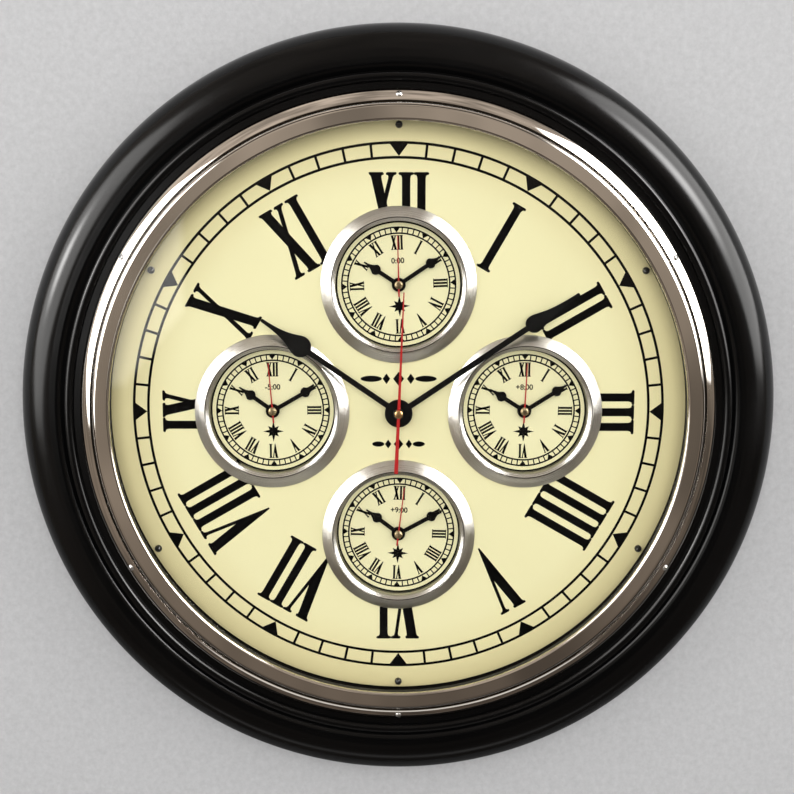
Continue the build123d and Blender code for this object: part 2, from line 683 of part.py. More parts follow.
def minute_hand():
    """Main minute hand, pressed on the minute arbor."""
    shape = spade_hand(HUB_R, MINUTE_STEM, MINUTE_BULGE_AT, MINUTE_BULGE_R, MINUTE_TIP_AT, TIP_WIDTH)
    hand = plate(shape, minute_hand_low, HAND_THICK, MINUTE_ANGLE)
    return hand - disc(MINUTE_TUBE_R + PRESS_GAP, minute_hand_low - CUT, minute_hand_top + CUT)


def second_hand():
    """Main second hand with its round boss, pressed on the second arbor."""
    shape = pointer(SECOND_TIP_AT, SECOND_TIP_WIDTH, SECOND_TAIL_AT, SECOND_TAIL_WIDTH)
    hand = plate(shape, second_hand_low, SECOND_HAND_THICK, SECOND_ANGLE)
    hand += disc(CAP_R, second_hand_low, second_hand_top + CAP_HEIGHT)
    return hand - disc(SECOND_ARBOR_R + PRESS_GAP, second_hand_low - CUT, second_hand_top + PRESS_GAP)


def insert_bezel():
    """Insert's satin ring: flange on the main dial, sloping band, lens groove and skirt to the dial."""
    groove_r = INSERT_SIGHT_R + LENS_LAP + LENS_GAP
    groove_low = lens_low - LENS_GAP
    edge_top = dial_front + INSERT_EDGE
    crest = (INSERT_SIGHT_R + INSERT_LIP_WIDTH, insert_crest)
    outline = [
        Line((skirt_r, insert_dial_front), (skirt_r, dial_front)),
        Line((skirt_r, dial_front), (insert_bezel_r, dial_front)),
        Line((insert_bezel_r, dial_front), (insert_bezel_r, edge_top)),
        Line((insert_bezel_r, edge_top), crest),
        Line(crest, (INSERT_SIGHT_R, insert_lip_top)),
        Line((INSERT_SIGHT_R, insert_lip_top), (INSERT_SIGHT_R, insert_lip_low)),
        Line((INSERT_SIGHT_R, insert_lip_low), (groove_r, insert_lip_low)),
        Line((groove_r, insert_lip_low), (groove_r, groove_low)),
        Line((groove_r, groove_low), (INSERT_SIGHT_R, groove_low)),
        Line((INSERT_SIGHT_R, groove_low), (INSERT_SIGHT_R, insert_dial_front)),
        Line((INSERT_SIGHT_R, insert_dial_front), (skirt_r, insert_dial_front)),
    ]
    return turned(*outline)


def insert_lens():
    """Flexible clear pane snapped into the bezel's groove."""
    return disc(INSERT_SIGHT_R + LENS_LAP, lens_low, lens_top)


def insert_cup():
    """Cup through the main dial: mouth round the bezel's skirt, shoulder under the dial, open back."""
    cup = tube(cup_r, cup_mouth_r, insert_dial_back, dial_front - SEAT_GAP)
    cup += tube(cup_r, cup_mouth_r - CUP_SHOULDER, cup_back, insert_dial_back)
    return cup + tube(cup_r, INSERT_MOVEMENT_R + RUN_FIT, cup_back, cup_back + CUP_BACK)


def insert_dial():
    """Printed disc between the cup's shoulder and the bezel's skirt."""
    plain = disc(skirt_r - SEAT_GAP, insert_dial_back, insert_dial_front)
    return plain - disc(INSERT_BUSH_R + RUN_FIT, insert_dial_back - CUT, insert_dial_front + CUT)


def insert_gasket():
    """Rubber ring that grips the cup in its hole in the main dial."""
    return tube(cup_r + PRESS_GAP + GASKET_WALL, cup_r + PRESS_GAP, DIAL_SEAT, dial_front)


def insert_movement():
    """Round movement behind the insert's dial, with its bush, cell pocket and knob hole."""
    bush = insert_dial_front + INSERT_BUSH_PROUD
    body = disc(INSERT_MOVEMENT_R, insert_back, insert_dial_back)
    body += disc(INSERT_BUSH_R, insert_dial_back, bush)
    body -= disc(INSERT_HOUR_TUBE_R + RUN_FIT, insert_bore_low, bush + CUT)
    body -= Pos(0, cell_y, 0) * disc(cell_pocket_r, insert_back - CUT, insert_back + CELL_THICK)
    knob_bore_r = INSERT_KNOB_ARBOR_R + RUN_FIT
    reach = insert_back + INSERT_KNOB_REACH + SEAT_GAP
    return body - Pos(0, insert_knob_y, 0) * disc(knob_bore_r, insert_back - CUT, reach)


def insert_cell():
    """Button cell in the movement's pocket, flush with its back."""
    return Pos(0, cell_y, 0) * disc(CELL_R, insert_back, insert_back + CELL_THICK)


def insert_knob():
    """Small setting knob with its arbor, behind the insert's movement."""
    high = insert_back - SEAT_GAP
    body = knob(INSERT_KNOB_R, INSERT_KNOB_FLUTES, high - INSERT_KNOB_THICK, high)
    body += disc(INSERT_KNOB_ARBOR_R, high, insert_back + INSERT_KNOB_REACH)
    return Pos(0, insert_knob_y, 0) * body


def insert_hour_hand(angle):
    """Insert's hour hand with its tube."""
    top = insert_hour_low + INSERT_HAND_THICK
    shape = spade_hand(
        INSERT_HUB_R,
        INSERT_STEM,
        INSERT_HOUR_BULGE_AT,
        INSERT_HOUR_BULGE_R,
        INSERT_HOUR_TIP_AT,
        INSERT_TIP_WIDTH,
    )
    foot = insert_bore_low + 3 * INSERT_ARBOR_STEP_LENGTH
    hand = plate(shape, insert_hour_low, INSERT_HAND_THICK, angle) + disc(INSERT_HOUR_TUBE_R, foot, top)
    return hand - disc(INSERT_MINUTE_TUBE_R + RUN_FIT, foot - CUT, top + CUT)


def insert_minute_hand(angle):
    """Insert's minute hand with its tube, which runs inside the hour tube."""
    top = insert_minute_low + INSERT_HAND_THICK
    shape = spade_hand(
        INSERT_HUB_R,
        INSERT_STEM,
        INSERT_MINUTE_BULGE_AT,
        INSERT_MINUTE_BULGE_R,
        INSERT_MINUTE_TIP_AT,
        INSERT_TIP_WIDTH,
    )
    foot = insert_bore_low + 2 * INSERT_ARBOR_STEP_LENGTH
    hand = plate(shape, insert_minute_low, INSERT_HAND_THICK, angle) + disc(INSERT_MINUTE_TUBE_R, foot, top)
    return hand - disc(INSERT_SECOND_ARBOR_R + RUN_FIT, foot - CUT, top + CUT)


def insert_second_hand(angle):
    """Insert's second hand with its boss and arbor, which runs inside the minute tube."""
    shape = pointer(
        INSERT_SECOND_TIP_AT, INSERT_SECOND_TIP_WIDTH, INSERT_SECOND_TAIL_AT, INSERT_SECOND_TAIL_WIDTH
    )
    foot = insert_bore_low + INSERT_ARBOR_STEP_LENGTH
    hand = plate(shape, insert_second_low, INSERT_HAND_THICK, angle)
    hand += disc(INSERT_CAP_R, insert_second_low, insert_cap_top)
    return hand + disc(INSERT_SECOND_ARBOR_R, foot, insert_second_low)


# Case, bezel, glass and dial
save("case_ring", case_ring())
save("front_bezel", front_bezel())
bezel_screw = screw(BEZEL_SCREW_HEAD_R, BEZEL_SCREW_HEAD_H, BEZEL_SCREW_R, BEZEL_SCREW_LENGTH)
save("bezel_screws", *around(bezel_screw_place() * bezel_screw, RIM_SCREWS))
save("front_glass", disc(glass_r, glass_top() - GLASS_THICK, glass_top()))
save("glass_retainer", glass_retainer())
save("main_dial", main_dial())
dial_screw = screw(DIAL_SCREW_HEAD_R, DIAL_SCREW_HEAD_H, DIAL_SCREW_R, DIAL_SCREW_LENGTH)
save("dial_screws", *around(Pos(0, screw_circle_r, dial_front) * dial_screw, RIM_SCREWS))

# Wall hanger
save("hanger_plate", hanger_plate())
hanger_screw = countersunk(0)
spread = (-HANGER_SCREW_SPACING / 2, HANGER_SCREW_SPACING / 2)
save("hanger_screws", *[Pos(x, hanger_y, 0) * hanger_screw for x in spread])

# Main movement
save("movement_housing", movement_housing())
save("movement_cover", movement_cover())
save("movement_nut", movement_nut())
save("drive_circuit", *drive_circuit())
save("battery", battery())
save("hour_tube", hour_tube())
save("minute_arbor", minute_arbor())
save("second_arbor", second_arbor())
save("motion_wheel", motion_wheel())
save("set_knob", set_knob())
save("hour_hand", hour_hand())
save("minute_hand", minute_hand())
save("second_hand", second_hand())

# Insert clocks
for index, name in enumerate(INSERT_NAMES):
    place = insert_place(index)
    save(f"{name}_cup", place * insert_cup())
    save(f"{name}_bezel", place * insert_bezel())
    save(f"{name}_lens", place * insert_lens())
    save(f"{name}_dial", place * insert_dial())
    save(f"{name}_movement", place * insert_movement())
    save(f"{name}_set_knob", place * insert_knob())
    save(f"{name}_hour_hand", place * insert_hour_hand(INSERT_HOUR_ANGLES[index]))
    save(f"{name}_minute_hand", place * insert_minute_hand(INSERT_MINUTE_ANGLES[index]))
    save(f"{name}_second_hand", place * insert_second_hand(INSERT_SECOND_ANGLES[index]))
places = [insert_place(index) for index in range(len(INSERT_NAMES))]
save("insert_gaskets", *[place * insert_gasket() for place in places])
save("insert_batteries", *[place * insert_cell() for place in places])
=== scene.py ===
# %% [markdown]
# A round wall clock that tells the time in five places: one large quartz clock whose cream dial carries
# four small insert clocks. The CAD model gives every rigid piece its shape and place. This file adds what CAD
# leaves out: finishes, the printing on the dials, caps, contacts, finely turned fronts and the light of the room.
# Everything is in metres; the clock faces -Y, +Z is up, and its back lies on the wall at y = 0.

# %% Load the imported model
from math import radians

import bmesh
import bpy
import numpy as np
from mathutils import Matrix, Vector


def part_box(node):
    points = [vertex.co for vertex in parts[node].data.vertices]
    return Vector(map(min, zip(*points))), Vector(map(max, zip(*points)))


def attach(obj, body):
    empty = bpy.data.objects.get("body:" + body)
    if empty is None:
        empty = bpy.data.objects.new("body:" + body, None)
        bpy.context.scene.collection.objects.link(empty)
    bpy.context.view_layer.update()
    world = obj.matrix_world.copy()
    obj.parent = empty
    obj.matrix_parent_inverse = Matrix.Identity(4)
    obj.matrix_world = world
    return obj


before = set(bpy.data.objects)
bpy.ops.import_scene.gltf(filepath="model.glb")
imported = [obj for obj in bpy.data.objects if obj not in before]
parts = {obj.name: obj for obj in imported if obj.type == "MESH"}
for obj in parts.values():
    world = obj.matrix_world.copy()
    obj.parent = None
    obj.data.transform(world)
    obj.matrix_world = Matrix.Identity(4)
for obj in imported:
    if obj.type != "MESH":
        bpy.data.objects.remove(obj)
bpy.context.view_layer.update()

MM = 0.001
INSERTS = ("top", "right", "bottom", "left")
dial_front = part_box("main_dial")[0].y
insert_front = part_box("top_dial")[0].y

# %% [markdown]
# The camera stands where the photograph was taken: about 0.73 m in front of the dial, a little above its
# centre, looking down by eight degrees. It could be set by eye, but its place was worked out from the circles of
# the dial, so that each edge falls where the photograph has it. The square picture makes the sensor width the only
# size that matters.

# %% Camera
CAMERA_FROM_DIAL = Vector((-0.00388, -0.7271, 0.1098))
CAMERA_PITCH, CAMERA_YAW, CAMERA_ROLL = radians(-7.91), radians(-0.23), radians(0.07)
CAMERA_LENS, CAMERA_SENSOR = 54.92, 36.0

camera_data = bpy.data.cameras.new("photo_camera")
camera_data.lens = CAMERA_LENS
camera_data.sensor_width = CAMERA_SENSOR
camera_data.clip_start = 0.01
camera = bpy.data.objects.new("photo_camera", camera_data)
bpy.context.scene.collection.objects.link(camera)
aim = Matrix.Rotation(CAMERA_YAW, 4, "Z") @ Matrix.Rotation(radians(90) + CAMERA_PITCH, 4, "X")
aim = aim @ Matrix.Rotation(CAMERA_ROLL, 4, "Z")
camera.matrix_world = Matrix.Translation(CAMERA_FROM_DIAL + Vector((0, dial_front, 0))) @ aim
bpy.context.scene.camera = camera
print("camera at", [round(v, 4) for v in camera.matrix_world.translation])

# %% [markdown]
# A finish is a small tree of shader nodes. It could be drawn by hand in the shader editor, but a tree in writing
# can be read, changed and run again. Two helpers keep it short: `add` makes one node and takes either plain values
# or the sockets of earlier nodes, and `finish` starts a material whose Principled shader is already joined to the
# output. `dress` then gives the material to pieces of the CAD model.


# %% Nodes and materials
def add(mat, kind, **inputs):
    """One shader node. Keyword names are its inputs, with _ for a space; a socket is joined, a value is set."""
    made = mat.node_tree.nodes.new(kind)
    for name, value in inputs.items():
        join(mat, made.inputs[name.replace("_", " ")], value)
    return made


def join(mat, socket, value):
    """Join a socket to an input, or set the input to a plain value."""
    if isinstance(value, bpy.types.NodeSocket):
        mat.node_tree.links.new(value, socket)
    else:
        socket.default_value = value


def finish(name, **inputs):
    """A material with one Principled shader and its object coordinates ready to use."""
    mat = bpy.data.materials.new(name)
    mat.use_nodes = True
    mat.node_tree.nodes.clear()
    shader = add(mat, "ShaderNodeBsdfPrincipled", **inputs)
    output = mat.node_tree.nodes.new("ShaderNodeOutputMaterial")
    mat.node_tree.links.new(shader.outputs[0], output.inputs["Surface"])
    coords = mat.node_tree.nodes.new("ShaderNodeTexCoord").outputs["Object"]
    return mat, shader, coords


def dress(mat, *names):
    """Give CAD nodes a finish."""
    for name in names:
        parts[name].data.materials.clear()
        parts[name].data.materials.append(mat)
    print(mat.name, "on", len(names), "nodes")


print("pieces to dress", len(parts))

# %% [markdown]
# All finishes below are made of the same few steps: a cloudy noise, a range carried to another range, a sum, a mix
# of two colours, a fine relief, and the distance from an axis. Each is a node or two, so each gets a short helper.
# They read object coordinates, which are metres on the clock itself and stay with a piece when it moves.


# %% Patterns, sums and relief
def noise(mat, coords, scale, detail=3.0, roughness=0.55):
    """Cloudy pattern from 0 to 1; scale is in cycles per metre."""
    made = add(mat, "ShaderNodeTexNoise", Vector=coords, Scale=scale, Detail=detail, Roughness=roughness)
    return made.outputs["Fac"]


def ramp(mat, value, low, high, to_low, to_high):
    """Value carried from one range to another, held at its ends."""
    made = add(mat, "ShaderNodeMapRange", Value=value, From_Min=low, From_Max=high)
    join(mat, made.inputs["To Min"], to_low)
    join(mat, made.inputs["To Max"], to_high)
    return made.outputs["Result"]


def calc(mat, operation, a, b=0.0):
    """One sum on two values."""
    made = mat.node_tree.nodes.new("ShaderNodeMath")
    made.operation = operation
    join(mat, made.inputs[0], a)
    join(mat, made.inputs[1], b)
    return made.outputs[0]


def mixed(mat, factor, a, b):
    """Colour between a and b."""
    made = mat.node_tree.nodes.new("ShaderNodeMix")
    made.data_type = "RGBA"
    join(mat, made.inputs[0], factor)
    join(mat, made.inputs[6], a)
    join(mat, made.inputs[7], b)
    return made.outputs[2]


def bump(mat, shader, height, depth, strength=1.0):
    """Small relief: depth is the height of the pattern in metres."""
    made = add(mat, "ShaderNodeBump", Strength=strength, Distance=depth, Height=height)
    join(mat, shader.inputs["Normal"], made.outputs["Normal"])


def split(mat, coords):
    """The x, y and z of a point."""
    made = add(mat, "ShaderNodeSeparateXYZ", Vector=coords)
    return made.outputs[0], made.outputs[1], made.outputs[2]


def axis_distance(mat, coords, centre=(0.0, 0.0)):
    """Distance from an axis along Y through a point (x, z) of the dial."""
    x, _, z = split(mat, coords)
    flat = add(mat, "ShaderNodeCombineXYZ", X=calc(mat, "SUBTRACT", x, centre[0]))
    join(mat, flat.inputs["Z"], calc(mat, "SUBTRACT", z, centre[1]))
    made = mat.node_tree.nodes.new("ShaderNodeVectorMath")
    made.operation = "LENGTH"
    mat.node_tree.links.new(flat.outputs[0], made.inputs[0])
    return made.outputs["Value"]


print("steps of a finish:", [step.__name__ for step in (noise, ramp, calc, mixed, bump, split, axis_distance)])

# %% [markdown]
# The case is turned wood under black lacquer: nearly all its colour is what it mirrors, so it needs a very dark
# body and a smooth skin. A fine uneven relief softens the edges of highlights as brushed lacquer does. The step
# round the dial is left matt, and the back and the bore, never meant to be seen, show thin stain on wood grain.
# Separate materials could do that, but they would need faces of the CAD mesh to be sorted, and it is left alone.
# So one material tells the places apart by distance, each with the two sizes between which it passes over.

# %% Black lacquered wood
BLACK_LACQUER = (0.0016, 0.0016, 0.0017, 1)
BARE_STAIN = (0.030, 0.022, 0.016, 1)
STAIN_LIGHT = (0.075, 0.052, 0.034, 1)
BACK_FACE, BORE, STEP = (-0.0003, -0.0001), (0.1602, 0.1606), (0.1748, 0.1756)
GRAIN_STRETCH, MATT_ROUGH, GLOSS_ROUGH = (9.0, 60.0, 140.0), 0.85, (0.15, 0.22)

lacquer, shader, coords = finish("black_lacquer", Specular_IOR_Level=0.20)
_, y, _ = split(lacquer, coords)
behind = ramp(lacquer, y, *BACK_FACE, 0.0, 1.0)
reach = axis_distance(lacquer, coords)
inside = ramp(lacquer, reach, *BORE, 1.0, 0.0)
rebate = ramp(lacquer, reach, *STEP, 1.0, 0.0)
unseen = calc(lacquer, "MAXIMUM", behind, inside)
matt = calc(lacquer, "MULTIPLY", calc(lacquer, "MAXIMUM", unseen, rebate), MATT_ROUGH)
along = add(lacquer, "ShaderNodeMapping", Vector=coords, Scale=GRAIN_STRETCH)
grain = noise(lacquer, along.outputs[0], 1.0, 6.0, 0.65)
stain = mixed(lacquer, grain, BARE_STAIN, STAIN_LIGHT)
join(lacquer, shader.inputs["Base Color"], mixed(lacquer, unseen, BLACK_LACQUER, stain))
haze = ramp(lacquer, noise(lacquer, coords, 26.0, 4.0), 0.3, 0.7, *GLOSS_ROUGH)
join(lacquer, shader.inputs["Roughness"], calc(lacquer, "MAXIMUM", haze, matt))
bump(lacquer, shader, noise(lacquer, coords, 260.0, 2.0), 0.00003, 0.3)
dress(lacquer, "case_ring")

# %% [markdown]
# The wide bezel is polished nickel plate, a little warmer than chrome. The spinning lathe leaves faint rings
# that run round the dial's axis, so the relief follows the distance from that axis. The shader's anisotropy could
# show turning as well, but it needs a tangent for each face, which the CAD mesh lacks. The small bezels are the
# same metal with a satin surface, each with rings round its own centre.


# %% Nickel plate
def nickel(name, colour, smooth, rough, ring_pitch, ring_depth, centre=(0.0, 0.0), shade_lines=()):
    """Nickel with turning rings: a sine of the distance from the axis, loosened by noise, sets the relief. Dark lines
    of painted shade, 0.5 mm wide, run round the axis at the given distances, where grooves would lie in shadow."""
    mat, shader, coords = finish(name, Metallic=1.0)
    reach = axis_distance(mat, coords, centre)
    for shade_line in shade_lines:
        off_shade_line = calc(mat, "ABSOLUTE", calc(mat, "SUBTRACT", reach, shade_line))
        colour = mixed(mat, ramp(mat, off_shade_line, *GROOVE_SHADE_EDGE, 1.0, 0.0), colour, GROOVE_SHADE)
    join(mat, shader.inputs["Base Color"], colour)
    drift = calc(mat, "MULTIPLY", noise(mat, coords, 40.0), 2.0)
    rings = calc(mat, "SINE", calc(mat, "ADD", calc(mat, "MULTIPLY", reach, 6.2832 / ring_pitch), drift))
    streaks = noise(mat, add(mat, "ShaderNodeCombineXYZ", X=calc(mat, "MULTIPLY", reach, 2600.0)).outputs[0], 1.0)
    cloud = noise(mat, coords, 18.0, 4.0)
    both = calc(mat, "ADD", calc(mat, "MULTIPLY", streaks, 0.7), calc(mat, "MULTIPLY", cloud, 0.3))
    join(mat, shader.inputs["Roughness"], ramp(mat, both, 0.3, 0.7, smooth, rough))
    bump(mat, shader, calc(mat, "ADD", rings, streaks), ring_depth, 0.5)
    return mat


POLISHED_NICKEL = (0.60, 0.565, 0.52, 1)
SATIN_NICKEL = (0.62, 0.60, 0.56, 1)
# Painted shade: dark lines round the bezels stand in for shadowed grooves, two on the large bezel and one inside  the
# crest of each small one
GROOVE_SHADE, GROOVE_SHADE_EDGE = (0.06, 0.055, 0.05, 1), (0.00018, 0.00034)
BEZEL_SHADE_LINES, INSERT_SHADE_LINES = (0.18264, 0.1802), (0.0401,)
polished = nickel("polished_nickel", POLISHED_NICKEL, 0.03, 0.07, 0.0011, 0.0000006, shade_lines=BEZEL_SHADE_LINES)
dress(polished, "front_bezel")
insert_centre = {}
for side in INSERTS:
    low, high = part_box(f"{side}_dial")
    insert_centre[side] = ((low.x + high.x) / 2, (low.z + high.z) / 2)
    satin = nickel(f"satin_nickel_{side}", SATIN_NICKEL, 0.24, 0.34, 0.0006, 0.0000008,
                   insert_centre[side], INSERT_SHADE_LINES)
    dress(satin, f"{side}_bezel")
print("insert centres", insert_centre)

# %% [markdown]
# Glass has to let the lamps through as well as the eye. A real sheet does that by itself, but a path tracer
# seldom finds a lamp through refraction, so for rays that look for lamps the sheet is plainly clear, and for all
# others it is glass with its reflections. The index is set a little low, because the photograph's panes are faint.


# %% Clear glass
def either(mat, choice, first, second):
    """Two shaders, the first where the choice is 0 and the second where it is 1, joined to the output."""
    made = mat.node_tree.nodes.new("ShaderNodeMixShader")
    join(mat, made.inputs[0], choice)
    join(mat, made.inputs[1], first.outputs[0])
    join(mat, made.inputs[2], second.outputs[0])
    output = next(n for n in mat.node_tree.nodes if n.type == "OUTPUT_MATERIAL")
    join(mat, output.inputs["Surface"], made.outputs[0])


def clear_sheet(name, tint, ior):
    """Glass for the eye, a clear opening for rays that look for lamps."""
    mat, shader, coords = finish(name, Base_Color=tint, Transmission_Weight=1.0, IOR=ior)
    smear = ramp(mat, noise(mat, coords, 14.0, 4.0), 0.45, 0.75, 0.0, 0.012)
    join(mat, shader.inputs["Roughness"], smear)
    opening = add(mat, "ShaderNodeBsdfTransparent", Color=tint)
    path = mat.node_tree.nodes.new("ShaderNodeLightPath")
    lamp_ray = calc(mat, "MAXIMUM", path.outputs["Is Shadow Ray"], path.outputs["Is Diffuse Ray"])
    either(mat, lamp_ray, shader, opening)
    return mat


dress(clear_sheet("window_glass", (0.995, 0.997, 0.993, 1), ior=1.40), "front_glass")
dress(clear_sheet("lens_plastic", (0.997, 0.997, 0.993, 1), ior=1.35), *[f"{side}_lens" for side in INSERTS])

# %% [markdown]
# All dials are painted cream on the front. The large one is a fibreboard disc, so its back and edge are brown.
# Like the case, front and back are told apart by their distance from the wall. Faint clouds and a fine paper
# grain keep the paint from looking like plastic. Towards its edge the large dial is yellower and darker: partly
# it has yellowed, and partly this is painted shade where the bezel shades the rim.

# %% Cream dials
CREAM = (0.875, 0.822, 0.490, 1)
CREAM_DEEP = (0.835, 0.770, 0.430, 1)
# Cream for the rim of the large dial: yellowed paint, darkened further as painted shade of the bezel
CREAM_AGED_SHADED = (0.740, 0.640, 0.330, 1)
# Cream of the insert dials, lighter than the large dial's as painted light that makes up for the shade of their
# recess
CARD_LIGHTENED = (0.925, 0.875, 0.545, 1)
CARD_DEEP_LIGHTENED = (0.895, 0.835, 0.490, 1)
BOARD = (0.235, 0.130, 0.060, 1)
BOARD_DARK = (0.150, 0.080, 0.036, 1)
PAINT_END, BOARD_START = 0.0002, 0.0006


def cream_paint(name, front, light, deep, rim_shade_from, rim_shade_to):
    """Cream in front of the plane y = front, yellowed and darkened by painted shade between two radii, and brown
    board behind it.
    """
    mat, shader, coords = finish(name, Roughness=0.5, Specular_IOR_Level=0.35)
    _, y, _ = split(mat, coords)
    is_back = ramp(mat, y, front + PAINT_END, front + BOARD_START, 0.0, 1.0)
    clouds = ramp(mat, noise(mat, coords, 9.0, 5.0), 0.35, 0.75, 0.0, 0.45)
    # Painted shade: towards the rim the cream turns yellower and darker, for real yellowing and for the bezel's shade
    yellowed_and_shaded = ramp(mat, axis_distance(mat, coords), rim_shade_from, rim_shade_to, 0.0, 0.9)
    paint = mixed(mat, yellowed_and_shaded, mixed(mat, clouds, light, deep), CREAM_AGED_SHADED)
    fibres = noise(mat, coords, 900.0, 3.0, 0.7)
    board = mixed(mat, fibres, BOARD_DARK, BOARD)
    join(mat, shader.inputs["Base Color"], mixed(mat, is_back, paint, board))
    bump(mat, shader, noise(mat, coords, 1500.0, 2.0), 0.00004, 0.25)
    return mat


dress(cream_paint("cream_board", dial_front, CREAM, CREAM_DEEP, rim_shade_from=0.135, rim_shade_to=0.176), "main_dial")
dress(cream_paint("cream_card", insert_front, CARD_LIGHTENED, CARD_DEEP_LIGHTENED, rim_shade_from=0.20, rim_shade_to=0.30),
      *[f"{side}_dial" for side in INSERTS])

# %% [markdown]
# The hands are stamped metal under paint: matt black on hour and minute hands, red on second hands. Each finish
# from here on is two close colours in faint clouds, a range of roughness and a fine relief, so one function makes
# them all. On the large clock the boss of the red hand is black beside the hand itself. A second material could do
# that too, but it is a matter of two distances, so it stays one.


# %% Paint on the hands
def plain(name, colour, shade, rough, depth, scale, **inputs):
    """Two close colours mixed by noise, a rough range and a fine relief of the given scale."""
    mat, shader, coords = finish(name, **inputs)
    cloud = noise(mat, coords, scale / 12, 4.0)
    join(mat, shader.inputs["Base Color"], mixed(mat, cloud, colour, shade))
    join(mat, shader.inputs["Roughness"], ramp(mat, cloud, 0.3, 0.7, *rough))
    bump(mat, shader, noise(mat, coords, scale, 2.0), depth, 0.4)
    return mat


HAND_RED, HAND_RED_DEEP = (0.47, 0.012, 0.010, 1), (0.40, 0.008, 0.008, 1)
BOSS_EDGE, HAND_EDGE, BOSS_BLACK = (0.00330, 0.00336), (0.00085, 0.00091), (0.003, 0.003, 0.003, 1)
HAND_NODES = ["hour_hand", "minute_hand"]
for side in INSERTS:
    HAND_NODES += [f"{side}_hour_hand", f"{side}_minute_hand"]
hand_black = plain("hand_black", (0.002, 0.002, 0.002, 1), (0.004, 0.004, 0.004, 1), (0.4, 0.5), 2e-5, 1200.0,
                   Specular_IOR_Level=0.12)
dress(hand_black, *HAND_NODES)
hand_red = plain("hand_red", HAND_RED, HAND_RED_DEEP, (0.3, 0.42), 1e-5, 1200.0)
dress(hand_red, *[f"{side}_second_hand" for side in INSERTS])
boss_red, shader, coords = finish("hand_red_boss", Roughness=0.38)
x, _, _ = split(boss_red, coords)
boss = ramp(boss_red, axis_distance(boss_red, coords), *BOSS_EDGE, 1.0, 0.0)
beside = ramp(boss_red, calc(boss_red, "ABSOLUTE", x), *HAND_EDGE, 0.0, 1.0)
tint = mixed(boss_red, noise(boss_red, coords, 100.0, 4.0), HAND_RED, HAND_RED_DEEP)
paint = mixed(boss_red, calc(boss_red, "MULTIPLY", boss, beside), tint, BOSS_BLACK)
join(boss_red, shader.inputs["Base Color"], paint)
bump(boss_red, shader, noise(boss_red, coords, 1200.0, 2.0), 1e-5, 0.4)
dress(boss_red, "second_hand")

# %% [markdown]
# Bare metal shows in small places: brass on the nut, the minute arbor and the caps, zinc on bright screws, blackened
# steel on the screws of the dial. The hanger plate is galvanised. A full metal would go black wherever the room
# behind it is dark, so it is metal only in part, as zinc with a dull grey skin is.

# %% Metal
brass = plain("brass", (0.62, 0.41, 0.19, 1), (0.50, 0.30, 0.13, 1), (0.2, 0.34), 1e-5, 900.0, Metallic=1.0)
dress(brass, "movement_nut", "minute_arbor")
dull_brass = plain("dull_brass", (0.50, 0.40, 0.25, 1), (0.38, 0.29, 0.17, 1), (0.3, 0.42), 1e-5, 900.0,
                   Metallic=1.0)
zinc = plain("zinc_steel", (0.60, 0.59, 0.56, 1), (0.46, 0.46, 0.46, 1), (0.24, 0.4), 2e-5, 700.0, Metallic=1.0)
dress(zinc, "bezel_screws", "hanger_screws", "second_arbor")
galvanised = plain("galvanised_steel", (0.50, 0.51, 0.51, 1), (0.36, 0.37, 0.38, 1), (0.46, 0.6), 3e-5, 260.0,
                   Metallic=0.65)
dress(galvanised, "hanger_plate")
black_steel = plain("black_steel", (0.012, 0.012, 0.012, 1), (0.02, 0.02, 0.02, 1), (0.3, 0.45), 2e-5, 900.0)
dress(black_steel, "dial_screws")
bright_steel = plain("bright_steel", (0.66, 0.66, 0.66, 1), (0.56, 0.56, 0.57, 1), (0.16, 0.3), 1e-5, 900.0,
                     Metallic=1.0)
dress(bright_steel, "insert_batteries")

# %% [markdown]
# The works behind the dial are moulded: black plastic for cups, shells and knobs, pale plastic for wheels, and rubber
# for the rings that hold the glass and the inserts. The circuit is a green board. None shows from the front, so the
# plain finish is enough for them.

# %% Rubber and plastic
rubber = plain("black_rubber", (0.014, 0.014, 0.014, 1), (0.024, 0.024, 0.024, 1), (0.6, 0.75), 3e-5, 800.0)
dress(rubber, "glass_retainer", "insert_gaskets")
black_plastic = plain("black_plastic", (0.020, 0.020, 0.021, 1), (0.032, 0.032, 0.033, 1), (0.38, 0.52), 6e-5, 1500.0)
CASE_PLASTIC = ["movement_housing", "movement_cover", "set_knob"]
for side in INSERTS:
    CASE_PLASTIC += [f"{side}_cup", f"{side}_movement", f"{side}_set_knob"]
dress(black_plastic, *CASE_PLASTIC)
wheel_plastic = plain("wheel_plastic", (0.72, 0.71, 0.66, 1), (0.62, 0.61, 0.56, 1), (0.35, 0.5), 2e-5, 900.0)
dress(wheel_plastic, "hour_tube", "motion_wheel")
circuit = plain("circuit_green", (0.02, 0.12, 0.05, 1), (0.03, 0.16, 0.06, 1), (0.3, 0.45), 2e-5, 900.0)
dress(circuit, "drive_circuit")

# %% [markdown]
# The large clock's cell wears a plain dark jacket that stops short of both ends, where the steel can shows. A
# sleeve of its own could be turned round it, but a jacket is a film. The cell lies along X, so it is a range of x.

